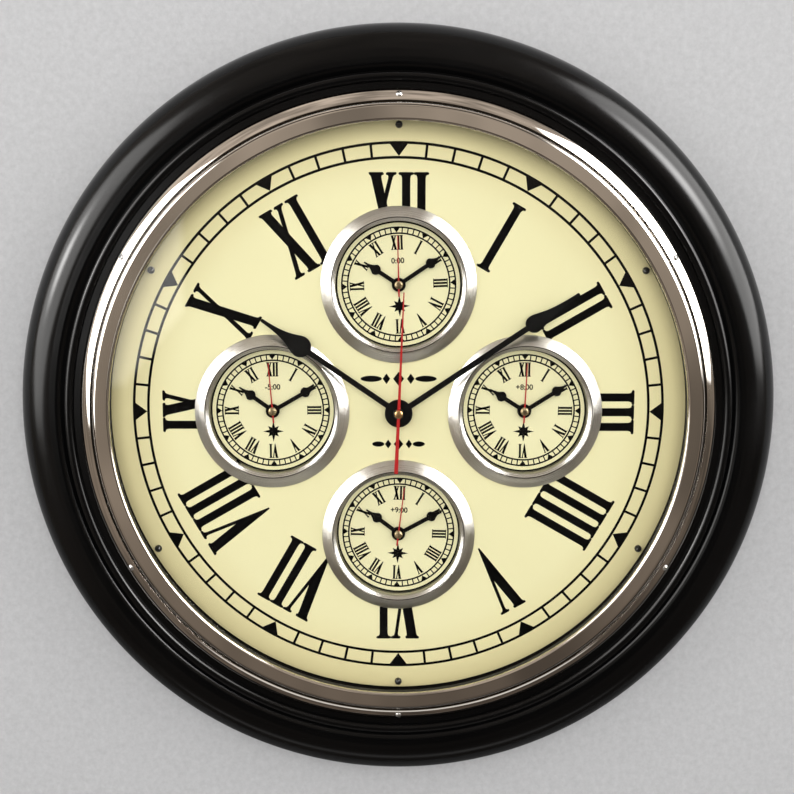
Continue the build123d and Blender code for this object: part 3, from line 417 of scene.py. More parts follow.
# %% Battery jacket
JACKET_INSET, JACKET_EDGE = 0.0022, 2e-4
cell_low, cell_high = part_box("battery")
jacket, shader, coords = finish("battery_jacket", Roughness=0.32)
x, _, _ = split(jacket, coords)
left_end = ramp(jacket, x, cell_low.x + JACKET_INSET, cell_low.x + JACKET_INSET + JACKET_EDGE, 0.0, 1.0)
jacket_stop = cell_high.x - 2 * JACKET_INSET
right_end = ramp(jacket, x, jacket_stop, jacket_stop + JACKET_EDGE, 1.0, 0.0)
sleeve = calc(jacket, "MULTIPLY", left_end, right_end)
sheen = noise(jacket, coords, 60.0, 3.0)
blue_grey = mixed(jacket, sheen, (0.05, 0.07, 0.10, 1), (0.07, 0.09, 0.13, 1))
steel_end = mixed(jacket, sheen, (0.55, 0.55, 0.55, 1), (0.66, 0.66, 0.66, 1))
join(jacket, shader.inputs["Base Color"], mixed(jacket, sleeve, steel_end, blue_grey))
join(jacket, shader.inputs["Metallic"], calc(jacket, "SUBTRACT", 1.0, sleeve))
dress(jacket, "battery")

# %% [markdown]
# Printing is a film of ink on the dial. A picture could be laid on the dial instead, but a mesh stays sharp however
# near the camera comes. Every mark here is built from strips: a row of left edges and a row of right edges, joined
# by quads. A stem, a serif, a triangle, a minute stroke and a ring are all strips, so one function turns a list of
# them into a mesh. The film gets a real thickness from a Solidify modifier.

# %% Ink strips
INK_FILM = 0.06 * MM
INK_LIFT = 0.01 * MM

ink = plain("dial_ink", (0.0012, 0.0012, 0.0012, 1), (0.0022, 0.0022, 0.0022, 1), (0.6, 0.7), 1e-5, 1500.0,
            Specular_IOR_Level=0.05)


def turn(strip, clockwise):
    """A strip turned about the origin: x' = x cos a + z sin a, z' = z cos a - x sin a."""
    a = np.radians(clockwise)
    return np.stack([strip[..., 0] * np.cos(a) + strip[..., 1] * np.sin(a),
                     strip[..., 1] * np.cos(a) - strip[..., 0] * np.sin(a)], axis=-1)


def strip_of(height, left, right):
    """A strip from three rows of numbers: its heights, left edges and right edges."""
    height, left, right = np.broadcast_arrays(height, left, right)
    return np.stack([np.stack([left, height], -1), np.stack([right, height], -1)], axis=1).astype(float)


def ring_of(inner, outer, steps=240):
    """A ring as a strip that runs round the circle: (r sin a, r cos a) at its outer and inner radius."""
    a = np.linspace(0, 2 * np.pi, steps + 1)
    edge = np.stack([np.sin(a), np.cos(a)], -1)
    return np.stack([outer * edge, inner * edge], axis=1)


def new_piece(name, points, faces, mat, body):
    """A mesh object at the origin from arrays of points and faces, riding on a body."""
    mesh = bpy.data.meshes.new(name)
    mesh.from_pydata(points.tolist(), [], faces.tolist())
    cleaner = bmesh.new()
    cleaner.from_mesh(mesh)
    bmesh.ops.remove_doubles(cleaner, verts=cleaner.verts, dist=2e-6)
    bmesh.ops.dissolve_degenerate(cleaner, edges=cleaner.edges, dist=1e-7)
    cleaner.to_mesh(mesh)
    cleaner.free()
    mesh.materials.append(mat)
    piece = bpy.data.objects.new(name, mesh)
    bpy.context.scene.collection.objects.link(piece)
    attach(piece, body)
    return piece


def ink_film(piece):
    """Thickness for a flat print, on the side that it faces."""
    film = piece.modifiers.new("film", "SOLIDIFY")
    film.thickness, film.offset = INK_FILM, 1.0


def print_on(name, strips, centre, plane, clockwise=0.0, facing=-1, mat=ink):
    """Ink film from strips in millimetres, laid on a plane across y round a centre (x, z); facing 1 is the back."""
    sizes = np.array([len(s) for s in strips])
    starts = 2 * np.concatenate([[0], np.cumsum(sizes)[:-1]])
    flat = turn(np.concatenate([s.reshape(-1, 2) for s in strips]), clockwise) * MM
    first = np.concatenate([s + 2 * np.arange(n - 1) for s, n in zip(starts, sizes)])
    quads = first[:, None] + np.array([0, 1, 3, 2])[::-facing]
    height = np.full(len(flat), plane + facing * INK_LIFT)
    points = np.stack([flat[:, 0] + centre[0], height, flat[:, 1] + centre[1]], -1)
    ink_film(new_piece(name, points, quads, mat, "clock"))
    print(name, len(strips), "strips", len(quads), "quads")


print("quads in a ring", len(ring_of(1.0, 2.0)) - 1)

# %% [markdown]
# The numerals are heavy Roman ones with slab serifs. A font could set them, but few fonts are this tall and
# narrow, so the strokes are drawn. A serif is a slab with round ends and a small bracket that flows into the stem.
# Both are only a matter of how far the edges of a stroke step outwards near its ends, so a whole stroke with its
# serifs stays one strip. Sizes are millimetres from the middle of the dial.

# %% Strokes with serifs
FOOT, HEAD, POINT = 99.4, 142.9, 98.5
SLAB, BRACKET, BRACKET_REACH = 1.7, 2.4, 0.5
STEM_HALF, OVERHANG = 2.475, 2.05
ends = np.concatenate([np.linspace(0, SLAB, 9), SLAB + BRACKET * (1 - np.cos(np.linspace(0.1, np.pi / 2, 7)))])


def serif(depth):
    """Share of a serif's overhang at a depth from the end: a slab with round ends, then a hollow quarter round."""
    round_end = 1 - 0.4 * (1 - np.sqrt(np.clip(1 - (2 * depth / SLAB - 1) ** 2, 0, 1)))
    up = np.clip((SLAB + BRACKET - depth) / BRACKET, 0, 1)
    return np.where(depth <= SLAB, round_end, BRACKET_REACH * (1 - np.sqrt(1 - up**2)))


def stroke_rows(foot):
    """Heights of a stroke's rows: close together at both ends, even in between."""
    middle = np.linspace(foot + ends[-1], HEAD - ends[-1], 26)
    return np.concatenate([foot + ends, middle[1:-1], HEAD - ends[::-1]])


def edges(rows, foot_pair, head_pair, foot_serif, head_serif):
    """Left and right edges of a stroke: straight lines from foot to head, stepped out by the serifs."""
    t = (rows - rows[0]) / (rows[-1] - rows[0])
    low, high = serif(rows - rows[0]), serif(rows[-1] - rows)
    left = foot_pair[0] + (head_pair[0] - foot_pair[0]) * t - foot_serif[0] * low - head_serif[0] * high
    right = foot_pair[1] + (head_pair[1] - foot_pair[1]) * t + foot_serif[1] * low + head_serif[1] * high
    return left, right


print("rows in a stroke", len(stroke_rows(FOOT)))

# %% [markdown]
# Three letters make all twelve numerals. Where two strokes cross, as in V and X, the thin one stops at the edge of
# the thick one, so that no two films of ink lie in the same place. The numbers give the edges of each stroke at its
# foot and head, and the reach of its serifs.


# %% Letters and numerals
def letter_i(at):
    """Upright stem with a serif at both ends."""
    rows = stroke_rows(FOOT)
    pair, reach = (at - STEM_HALF, at + STEM_HALF), (OVERHANG, OVERHANG)
    return [strip_of(rows, *edges(rows, pair, pair, reach, reach))]


def letter_v(at):
    """Thick stroke down to the point, and a thin one that ends on it."""
    rows = stroke_rows(POINT)
    a, b = edges(rows, (-0.9, 5.1), (-8.2, -2.2), (0, 0), (1.2, 1.2))
    c, d = edges(rows, (-1.9, 0.1), (4.3, 6.3), (0, 0), (2.0, 2.0))
    thick = strip_of(rows, at + a, at + np.minimum(b, np.maximum(d, a)))
    thin = strip_of(rows, at + np.minimum(np.maximum(b, c), np.maximum(d, b)), at + np.maximum(d, b))
    return [thick, thin[np.flatnonzero(d > b)[0] - 1:]]


def letter_x(at):
    """Thick stroke from upper left to lower right, and a thin one in two parts, above and below it."""
    rows = stroke_rows(FOOT)
    a, b = edges(rows, (1.7, 7.4), (-8.2, -2.2), (1.5, 1.35), (0.9, 1.95))
    c, d = edges(rows, (-7.75, -4.75), (3.5, 6.05), (1.35, 2.55), (2.1, 1.65))
    upper = strip_of(rows, at + np.maximum(c, b), at + np.maximum(d, b))[np.flatnonzero(d > b)[0] - 1:]
    lower = strip_of(rows, at + np.minimum(c, a), at + np.minimum(d, a))[:np.flatnonzero(c < a)[-1] + 2]
    return [strip_of(rows, at + a, at + b), upper, lower]


LETTERS = {"I": letter_i, "V": letter_v, "X": letter_x}
NUMERALS = {
    1: [("I", 0.4)], 2: [("I", -4.1), ("I", 4.95)], 3: [("I", -8.7), ("I", 0.35), ("I", 9.4)],
    4: [("I", -13.6), ("I", -4.55), ("I", 4.5), ("I", 13.55)], 5: [("V", 0.3)],
    6: [("V", -3.6), ("I", 9.1)], 7: [("V", -7.7), ("I", 5.0), ("I", 14.05)],
    8: [("V", -11.9), ("I", 0.8), ("I", 9.85), ("I", 18.9)], 9: [("I", -8.2), ("X", 5.4)], 10: [("X", 0.0)],
    11: [("X", -4.8), ("I", 8.4)], 12: [("X", -8.9), ("I", 4.3), ("I", 13.35)],
}
SHORT_FOUR = [("I", -8.9), ("V", 5.1)]


def numeral(letters):
    """All strips of one numeral, upright, with its top outwards."""
    return [strip for kind, at in letters for strip in LETTERS[kind](at)]


def above(strip, height):
    """The part of a strip over a height: lower rows are dropped and a row is set at the cut."""
    rows = strip[:, 0, 1]
    cut = strip_of(np.array([height]), *[np.interp([height], rows, strip[:, edge, 0]) for edge in (0, 1)])
    return np.concatenate([cut, strip[rows > height]])


print("numerals", len(NUMERALS), "from letters", "".join(LETTERS))

# %% [markdown]
# The minute track is two rings with a stroke for each minute and a triangle for each hour. The same track and
# numerals, drawn smaller and from other radii, make the insert dials, so the sizes are arguments. On the main
# dial the quarter-hour numerals run under the insert bezels, so they stop below the bezel, short of the hole.

# %% Minute track and numerals
UNDER_BEZEL = 2.5


def minute_track(outer, inner, line, stroke, base):
    """Two rings, minute strokes between them and hour triangles with their base on the outer ring."""
    strips = [ring_of(outer - line, outer), ring_of(inner, inner + line)]
    span = np.array([inner + line, outer - line])
    minute = strip_of(span, -stroke / 2, stroke / 2)
    hour = strip_of(span, np.array([-0.06, -base / 2]), np.array([0.06, base / 2]))
    strips += [turn(hour if m % 5 == 0 else minute, 6 * m) for m in range(60)]
    return strips


def main_hours():
    """Twelve numerals; the quarter hours are cut along a circle under the insert's bezel."""
    pitch, bezel_r = insert_centre["top"][1] / MM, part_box("top_bezel")[1].x / MM
    strips = []
    for hour, letters in NUMERALS.items():
        for strip in numeral(letters):
            if hour % 3 == 0:
                under = pitch + np.sqrt((bezel_r - UNDER_BEZEL) ** 2 - strip[..., 0].mean() ** 2)
                strip = above(strip, under)
            if len(strip) > 1:
                strips.append(turn(strip, 30 * hour))
    return strips


def small_hours(short_four, tall, wide, foot, bold):
    """Twelve numerals squeezed to their own height, width and radius, each stroke bolder by a width."""
    strips = []
    for hour, letters in NUMERALS.items():
        letters = SHORT_FOUR if short_four and hour == 4 else letters
        for strip in numeral(letters):
            placed = np.stack([strip[..., 0] * wide, (strip[..., 1] - FOOT) * tall + foot], -1)
            placed[..., 0] += [-bold / 2, bold / 2]
            strips.append(turn(placed, 30 * hour))
    return strips


main_track = minute_track(outer=160.9, inner=150.7, line=1.6, stroke=1.55, base=10.6)
print_on("main_minute_track", main_track, (0, 0), dial_front)
print_on("main_numerals", main_hours(), (0, 0), dial_front)

# %% [markdown]
# Above and below the centre the dial carries a plain printer's ornament: lozenges between two tapered rules,
# long above and short below. They are strips like the rest, so they join the same film of ink.


# %% Ornaments on the main dial
def lozenge(at, height, half_width, half_height):
    """Diamond as a strip of three rows."""
    rows = np.array([-1.0, 0.0, 1.0])
    half = half_width * np.array([0.02, 1.0, 0.02])
    return strip_of(height + half_height * rows, at - half, at + half)


def tapered_rule(start, stop, height, thick):
    """Rule along x whose thickness swells from nothing to full and back, as sin of the way along it."""
    t = np.linspace(0.0, 1.0, 25)
    x = start + (stop - start) * t
    half = thick / 2 * (0.12 + 0.88 * np.sin(np.pi * t) ** 0.55)
    return np.stack([np.stack([x, height + half], -1), np.stack([x, height - half], -1)], axis=1)


def ornament(height, half_length, size):
    """Large lozenge, two small ones and two tapered rules, even on both sides."""
    strips = [lozenge(0, height, 0.8 * size, size)]
    for side in (-1, 1):
        strips.append(lozenge(side * 1.75 * size, height, 0.55 * size, 0.75 * size))
        start, stop = sorted((side * 2.4 * size, side * half_length))
        strips.append(tapered_rule(start, stop, height, 0.9 * size))
    return strips


ornaments = ornament(height=20.0, half_length=23.0, size=4.2) + ornament(height=-20.0, half_length=16.0, size=3.6)
print_on("main_ornaments", ornaments, (0, 0), dial_front)

# %% [markdown]
# Each insert dial carries its track and numerals, a black ring at its edge that is painted shade of the gap under
# the bezel, a figure for the hours and minutes it is ahead of the top one, and a small compass star. The four
# prints were set by hand on the real clock, and two of them sit a degree or two off. The figure is small and plain,
# so Blender's own font serves for it: the text is made a mesh first and then laid in its place.

# %% Insert dials
INSERT_TURN = {"top": -2.4, "right": 0.4, "bottom": 1.6, "left": -0.4}
FIGURE_BOLD, FIGURE_STEPS, FIGURE_SHARE = 0.1, 5, 0.72
TIME_AHEAD = {"top": "0:00", "right": "+8:00", "bottom": "+9:00", "left": "-5:00"}
FIGURE_HEIGHT, FIGURE_AT, STAR_AT, STAR_R = 3.3, 11.9, -13.0, 6.4


def compass_star(height, radius):
    """Eight-pointed star: the radius swings between long, waist and short points every 22.5 degrees."""
    a = np.linspace(0, 2 * np.pi, 17)
    reach = radius * np.array([1, 0.4, 0.72, 0.4] * 4 + [1])
    edge = np.stack([reach * np.sin(a), reach * np.cos(a) + height], -1)
    return np.stack([edge, np.broadcast_to([0.0, height], edge.shape)], axis=1)


def figure(side):
    """Plain figure as ink: text made a mesh, set to its height and laid on the insert's dial."""
    text = bpy.data.curves.new(f"{side}_figure", "FONT")
    text.body = TIME_AHEAD[side]
    text.align_x, text.align_y = "CENTER", "BOTTOM"
    text.size = FIGURE_HEIGHT * MM / FIGURE_SHARE
    text.offset = FIGURE_BOLD * MM
    text.resolution_u = FIGURE_STEPS
    holder = bpy.data.objects.new(f"{side}_figure_text", text)
    flat = bpy.data.meshes.new_from_object(holder)
    bpy.data.objects.remove(holder)
    points = np.empty(3 * len(flat.vertices))
    flat.vertices.foreach_get("co", points)
    points = points.reshape(-1, 3)
    x, z = insert_centre[side]
    laid = turn(points[:, :2] + [0, FIGURE_AT * MM], INSERT_TURN[side])
    placed = np.stack([laid[:, 0] + x, np.full(len(laid), insert_front - INK_LIFT), laid[:, 1] + z], -1)
    flat.vertices.foreach_set("co", placed.ravel())
    flat.materials.clear()
    flat.materials.append(ink)
    piece = bpy.data.objects.new(f"{side}_figure", flat)
    bpy.context.scene.collection.objects.link(piece)
    ink_film(piece)
    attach(piece, "clock")
    print(piece.name, len(flat.polygons), "faces")


for side in INSERTS:
    # The ring from 36.95 to 37.95 mm is painted shade of the gap under the bezel's lip, laid in the same ink as the
    # print
    strips = minute_track(outer=34.7, inner=30.2, line=0.95, stroke=0.7, base=3.8) + [ring_of(36.95, 37.95)]
    strips += small_hours(side != "bottom", tall=0.2, wide=0.205, foot=20.8, bold=0.22)
    strips.append(compass_star(STAR_AT, STAR_R))
    print_on(f"{side}_print", strips, insert_centre[side], insert_front, INSERT_TURN[side])
    figure(side)

# %% [markdown]
# A turned brass cap closes the middle of each set of hands. Half a sphere would come near, but a cap from a lathe
# has a straight side and a low dome. So it is a surface of revolution: a profile of radius against height, carried
# round the axis. It rides on the second hand, on the boss of which it sits.

# %% Brass caps
CAP_PROFILE = np.array([(0.0, 0.0), (1.0, 0.0), (1.0, 0.45), (0.93, 0.62), (0.80, 0.78), (0.6, 0.90),
                        (0.35, 0.97), (0.0, 1.0)])
SHARP_FROM = radians(40)
CAP_R, MAIN_CAP_TALL, INSERT_CAP_TALL = 0.0025, 0.0011, 0.00158
MAIN_CAP_SUNK, INSERT_CAP_SUNK = 0.00005, 0.0011


def round_piece(name, points, mat, body):
    """Smooth piece from rows of points that each run once round; quads join every row to the next."""
    rows, steps = points.shape[:2]
    i, j = np.meshgrid(np.arange(rows - 1), np.arange(steps), indexing="ij")
    k = (j + 1) % steps
    quads = np.stack([i * steps + j, i * steps + k, (i + 1) * steps + k, (i + 1) * steps + j], -1).reshape(-1, 4)
    piece = new_piece(name, points.reshape(-1, 3), quads, mat, body)
    piece.data.polygons.foreach_set("use_smooth", np.ones(len(piece.data.polygons), bool))
    print(name, len(piece.data.polygons), "faces")
    return piece


def turned(name, profile, centre, mat, body, steps=48):
    """Surface of revolution: point (x + r cos a, y, z + r sin a) for each profile pair (r, y) and each angle a."""
    a = np.linspace(0, 2 * np.pi, steps, endpoint=False)
    r, y = profile[:, 0], profile[:, 1]
    points = np.stack([centre[0] + np.outer(r, np.cos(a)), np.repeat(y[:, None], steps, axis=1),
                       centre[1] + np.outer(r, np.sin(a))], -1)
    round_piece(name, points, mat, body).data.set_sharp_from_angle(angle=SHARP_FROM)


def brass_cap(name, centre, back, height, mat, body):
    """Closed dome with its foot at y = back."""
    profile = np.stack([CAP_R * CAP_PROFILE[:, 0], back - height * CAP_PROFILE[:, 1]], -1)
    turned(name, profile, centre, mat, body)


boss_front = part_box("second_hand")[0].y
brass_cap("main_cap", (0, 0), boss_front + MAIN_CAP_SUNK, MAIN_CAP_TALL, brass, "main_second")
for side in INSERTS:
    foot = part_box(f"{side}_second_hand")[0].y + INSERT_CAP_SUNK
    brass_cap(f"{side}_cap", insert_centre[side], foot, INSERT_CAP_TALL, dull_brass, f"{side}_second")

# %% [markdown]
# Behind the dial, the large movement holds its cell between a coil spring and a leaf of spring steel. The spring
# is a round bar along a helix that narrows towards the cell, and the leaf is a bowed strip with a Solidify
# modifier. A curve object with a bevel would do as well, but here the arrays show how the bar is built.


# %% Battery contacts
def round_bar(name, path, radius, mat, body, sides=10):
    """Bar along points P(t): P + r (N cos b + B sin b), where N and B lie across the path; both ends close to a
    point."""
    ahead = np.gradient(path, axis=0)
    ahead /= np.linalg.norm(ahead, axis=1)[:, None]
    across = np.cross(ahead, (1.0, 0.0, 0.0))
    across /= np.linalg.norm(across, axis=1)[:, None]
    b = np.linspace(0, 2 * np.pi, sides, endpoint=False)
    thick = radius * np.minimum(1, np.minimum(np.arange(len(path)), np.arange(len(path))[::-1]))
    ring = across[:, None] * np.cos(b)[:, None] + np.cross(ahead, across)[:, None] * np.sin(b)[:, None]
    round_piece(name, path[:, None] + thick[:, None, None] * ring, mat, body)


COIL_TURNS, COIL_WIDE, COIL_NARROW, WIRE_R = 2.5, 4.4 * MM, 2.2 * MM, 0.2 * MM
LEAF_HALF, LEAF_BOW, LEAF_THICK, LEAF_ROWS = 3.2 * MM, 0.45 * MM, 0.25 * MM, 13
cell_axis = ((cell_low.y + cell_high.y) / 2, (cell_low.z + cell_high.z) / 2)
bay_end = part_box("movement_housing")[1].x - 1.5 * MM
t = np.linspace(0, 1, 141)
sweep, coil_r = 2 * np.pi * COIL_TURNS * t, COIL_WIDE + (COIL_NARROW - COIL_WIDE) * t
coil_x = -bay_end + 0.25 * MM + (bay_end + cell_low.x - 0.5 * MM) * t
coil = np.stack([coil_x, cell_axis[0] + coil_r * np.cos(sweep), cell_axis[1] + coil_r * np.sin(sweep)], -1)
round_bar("cell_spring", coil, WIRE_R, bright_steel, "clock")

# The leaf is a grid of u and v from -1 to 1, bowed towards the cell by 1 - u squared
way = np.linspace(-1, 1, LEAF_ROWS)
u, v = np.meshgrid(way, way, indexing="ij")
leaf_x = bay_end - 0.3 * MM - LEAF_BOW * (1 - u**2)
leaf = np.stack([leaf_x, cell_axis[0] + LEAF_HALF * v, cell_axis[1] + LEAF_HALF * u], -1).reshape(-1, 3)
first = (LEAF_ROWS * np.arange(LEAF_ROWS - 1)[:, None] + np.arange(LEAF_ROWS - 1)).ravel()
leaf_quads = np.stack([first, first + 1, first + LEAF_ROWS + 1, first + LEAF_ROWS], -1)
leaf_piece = new_piece("cell_leaf", leaf, leaf_quads, bright_steel, "clock")
sheet = leaf_piece.modifiers.new("sheet", "SOLIDIFY")
sheet.thickness, sheet.offset = LEAF_THICK, 0.0
print("cell_leaf", len(leaf_quads), "faces")

# %% [markdown]
# White marks on the movement cover show which way the setting knob turns and which end of the cell goes where.
# They are strips like the printing on the dials, laid on a plane that faces the wall.

# %% Marks on the movement cover
white_ink = plain("white_ink", (0.70, 0.70, 0.68, 1), (0.62, 0.62, 0.60, 1), (0.5, 0.6), 1e-5, 1500.0)
knob_low, knob_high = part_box("set_knob")
knob_at = ((knob_low.x + knob_high.x) / 2, (knob_low.z + knob_high.z) / 2)
cover_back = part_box("movement_cover")[1].y
ARROW_R, ARROW_FROM, ARROW_TO, ARROW_TIP = 10.4, np.radians(-40), np.radians(45), 0.27
SHAFT_HALF, TIP_HALF, TIP_END = 0.4, 1.5, 0.05
POLE_X, POLE_Z, MARK_HALF, MARK_THICK = 22 * MM, -7.5 * MM, 1.4, 0.3
a = np.linspace(ARROW_FROM, ARROW_TO, 25)
rim = np.stack([np.sin(a), np.cos(a)], -1)
shaft = np.stack([(ARROW_R + SHAFT_HALF) * rim, (ARROW_R - SHAFT_HALF) * rim], axis=1)
tip_a = ARROW_TO + np.array([0.0, ARROW_TIP])
tip_rim = np.stack([np.sin(tip_a), np.cos(tip_a)], -1)
tip_half = np.array([[TIP_HALF], [TIP_END]])
tip = np.stack([(ARROW_R + tip_half) * tip_rim, (ARROW_R - tip_half) * tip_rim], axis=1)
print_on("turn_arrow", [shaft, tip], knob_at, cover_back, 0.0, 1, white_ink)
bar = strip_of(np.array([-MARK_THICK, MARK_THICK]), -MARK_HALF, MARK_HALF)
post = [strip_of(np.array(span), -MARK_THICK, MARK_THICK)
        for span in ((MARK_THICK, MARK_HALF), (-MARK_HALF, -MARK_THICK))]
print_on("plus_mark", [bar] + post, (POLE_X, POLE_Z), cover_back, 0.0, 1, white_ink)
print_on("minus_mark", [bar], (-POLE_X, POLE_Z), cover_back, 0.0, 1, white_ink)

# %% [markdown]
# The wall of the step between dial and glass is lined with a strip of dead black paper, so that it doesn't
# mirror the dial. It is a thin ring, turned from a closed profile, between the dial and the rubber that holds
# the glass.

# %% Black paper liner
LINER_R, LINER_THICK = 174.25 * MM, 0.3 * MM
paper = plain("black_paper", (0.003, 0.003, 0.003, 1), (0.005, 0.005, 0.005, 1), (0.85, 0.95), 3e-5, 1600.0,
              Specular_IOR_Level=0.0)
liner_back, liner_front = dial_front - 0.05 * MM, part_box("glass_retainer")[1].y + 0.3 * MM
liner_profile = np.array([(LINER_R, liner_back), (LINER_R, liner_front), (LINER_R - LINER_THICK, liner_front),
                          (LINER_R - LINER_THICK, liner_back), (LINER_R, liner_back)])
turned("dial_liner", liner_profile, (0, 0), paper, "clock", steps=360)

# %% [markdown]
# A black mirror shows every facet of a mesh, and polished nickel does too. Subdividing the CAD mesh would not help,
# because its triangles follow no turning lines. So the fronts of the case and of all bezels are turned once more,
# each as one fine closed ring over the CAD solid. Two steps make the profile ready: `soften` rounds each corner a
# little, as polishing does, and `hold` sets points close to the ends of the flats so that smooth shading keeps them
# flat.

# %% Turned fronts
HOLD_NEAR, FRONT_STEPS, INSERT_STEPS = 0.12, 320, 180


def arc(centre, radius, start, end, steps):
    """Points of an arc from one direction to another, in degrees."""
    a = np.radians(np.linspace(start, end, steps))
    return np.stack([centre[0] + radius * np.cos(a), centre[1] + radius * np.sin(a)], -1)


def soften(corners, radius, steps=6):
    """Each corner P between A and B, the points a radius before and after it, becomes the curve
    (1 - t)^2 A + 2 t (1 - t) P + t^2 B; the radius is at most 0.45 of the shorter side. A corner that turns by
    less than ten degrees, as on an arc, stays one point."""
    before, after = corners - np.roll(corners, 1, 0), np.roll(corners, -1, 0) - corners
    long_a, long_b = np.linalg.norm(before, axis=1), np.linalg.norm(after, axis=1)
    cut = np.minimum(radius, 0.45 * np.minimum(long_a, long_b))
    start, end = corners - before * (cut / long_a)[:, None], corners + after * (cut / long_b)[:, None]
    t = np.linspace(0, 1, steps)[:, None, None]
    curve = ((1 - t) ** 2 * start + 2 * t * (1 - t) * corners + t**2 * end).transpose(1, 0, 2)
    gentle = (before * after).sum(1) > np.cos(np.radians(10)) * long_a * long_b
    curve[gentle] = corners[gentle, None]
    kept = ~gentle[:, None] | (np.arange(steps) == 0)
    return curve[kept]


def hold(points, near):
    """Two more points on each long side of the outline, a short way from its ends."""
    run = np.roll(points, -1, 0) - points
    long_side = np.linalg.norm(run, axis=1) > 8 * near
    share = (near / np.maximum(np.linalg.norm(run, axis=1), near))[:, None]
    held = np.stack([points, points + run * share, points + run * (1 - share)], 1)
    return held[long_side[:, None] | (np.arange(3) == 0)]


def turned_front(name, corners, radius, centre, mat, steps):
    """Closed ring from corners (radius, height over the wall) in millimetres, listed from the outside inwards."""
    outline = hold(soften(np.asarray(corners, float), radius), HOLD_NEAR)
    profile = np.stack([outline[:, 0], -outline[:, 1]], -1) * MM
    turned(name, np.concatenate([profile, profile[:1]]), centre, mat, "clock", steps)


print("points on a softened square", len(soften(np.array([(0, 0), (9, 0), (9, 9), (0, 9)], float), 1.0)))

# %% [markdown]
# The case front, from its widest place inwards: a broad roll, a flat top, a tight shoulder, then a round bead
# beside the channel round the bezel. The last corners close the ring inside the wood.

# %% Case front
CASE_FRONT = np.concatenate([
    [(229.96, 20.6)], arc((208.0, 23.6), 21.96, 0, 90, 40),
    arc((205.5, 39.0), 6.5, 90, 142, 16), [(199.90, 42.9)], arc((196.6, 46.2), 2.74, -20, 172, 40),
    [(193.86, 45.86), (193.5, 44.9), (199.0, 42.2), (203.0, 43.0)],
    arc((208.0, 23.6), 20.8, 90, 0, 12), [(228.6, 20.6)]])
turned_front("case_front", CASE_FRONT, 0.22, (0, 0), lacquer, FRONT_STEPS)

# %% [markdown]
# The bezel front: a screw band that bulges by a third of a millimetre, a groove, a quarter round, a shallow cone
# and the rim over the glass. The bulge is what tapers the white of the lamps towards the edge of the band.

# %% Bezel fronts
BAND_FOOT, BAND_RUN, BAND_OUT, BULGE = (189.76, 47.06), (-6.5, 4.2), (0.543, 0.840), 0.34
band_t = np.linspace(0, 1, 13)
BAND = BAND_FOOT + np.outer(band_t, BAND_RUN) + np.outer(4 * BULGE * band_t * (1 - band_t), BAND_OUT)
BEZEL_FRONT = np.concatenate([
    [(189.76, 46.1)], BAND, [(183.06, 51.30), (182.96, 49.80), (182.32, 49.80)],
    arc((178.7, 50.4), 3.50, 0, 84, 18),
    [(172.5, 54.43), (171.6, 54.05), (171.14, 53.05), (171.14, 52.2),
     (172.2, 52.2), (176.0, 52.6), (181.0, 49.2), (184.0, 49.2), (188.8, 46.1)]])
turned_front("bezel_front", BEZEL_FRONT, 0.18, (0, 0), polished, FRONT_STEPS)

INSERT_FRONT = [(46.76, 34.1), (46.76, 35.42), (43.6, 37.45), (40.5, 39.28), (37.96, 37.44), (37.96, 36.8),
                (38.8, 36.9), (40.4, 38.4), (46.0, 34.9), (46.0, 34.1)]
for side in INSERTS:
    satin = parts[f"{side}_bezel"].data.materials[0]
    turned_front(f"{side}_bezel_front", INSERT_FRONT, 0.5, insert_centre[side], satin,
                 INSERT_STEPS)

# %% [markdown]
# The wall is pale grey plaster just behind the clock. It is seen from the front only, so that views from behind
# show the works. Below the clock, mirrors see it with painted shade: its colour turns dark for mirror rays only.

# %% Wall
WALL_GREY = (0.570, 0.570, 0.575, 1)
WALL_GREY_SHADE = (0.450, 0.450, 0.455, 1)
WALL_MIRROR_SHADE = (0.02, 0.02, 0.02, 1)
WALL_HALF, WALL_GAP = 3.0, 0.0006

wall_paint, shader, coords = finish("wall_paint", Roughness=0.9)
mottle = ramp(wall_paint, noise(wall_paint, coords, 260.0, 6.0, 0.75), 0.25, 0.75, 0.0, 1.0)
plaster = mixed(wall_paint, mottle, WALL_GREY_SHADE, WALL_GREY)
_, _, z = split(wall_paint, coords)
mirror_ray = wall_paint.node_tree.nodes.new("ShaderNodeLightPath").outputs["Is Glossy Ray"]
# Painted shade: for mirror rays the wall's colour darkens below the clock
mirror_shade = calc(wall_paint, "MULTIPLY", mirror_ray, ramp(wall_paint, z, -0.25, 0.12, 0.85, 0.0))
join(wall_paint, shader.inputs["Base Color"], mixed(wall_paint, mirror_shade, plaster, WALL_MIRROR_SHADE))
bump(wall_paint, shader, noise(wall_paint, coords, 420.0, 4.0), 0.0002, 0.35)
see_through = wall_paint.node_tree.nodes.new("ShaderNodeBsdfTransparent")
side_seen = wall_paint.node_tree.nodes.new("ShaderNodeNewGeometry").outputs["Backfacing"]
either(wall_paint, side_seen, shader, see_through)

corner = WALL_HALF * np.array([(-1, -1), (1, -1), (1, 1), (-1, 1)])
wall_mesh = bpy.data.meshes.new("wall")
wall_mesh.from_pydata([(x, WALL_GAP, z) for x, z in corner], [], [(0, 1, 2, 3)])
wall_mesh.materials.append(wall_paint)
wall = bpy.data.objects.new("wall", wall_mesh)
bpy.context.scene.collection.objects.link(wall)
wall.visible_shadow = False
print("wall", 2 * WALL_HALF, "m wide")

# %% [markdown]
# Light comes from a broad soft lamp over the camera, one on each side of it, and an even grey surround. Two more
# behind the wall light the works for views from the back. Small lamps would throw hard shadows under the hands, and
# the photograph has soft ones.


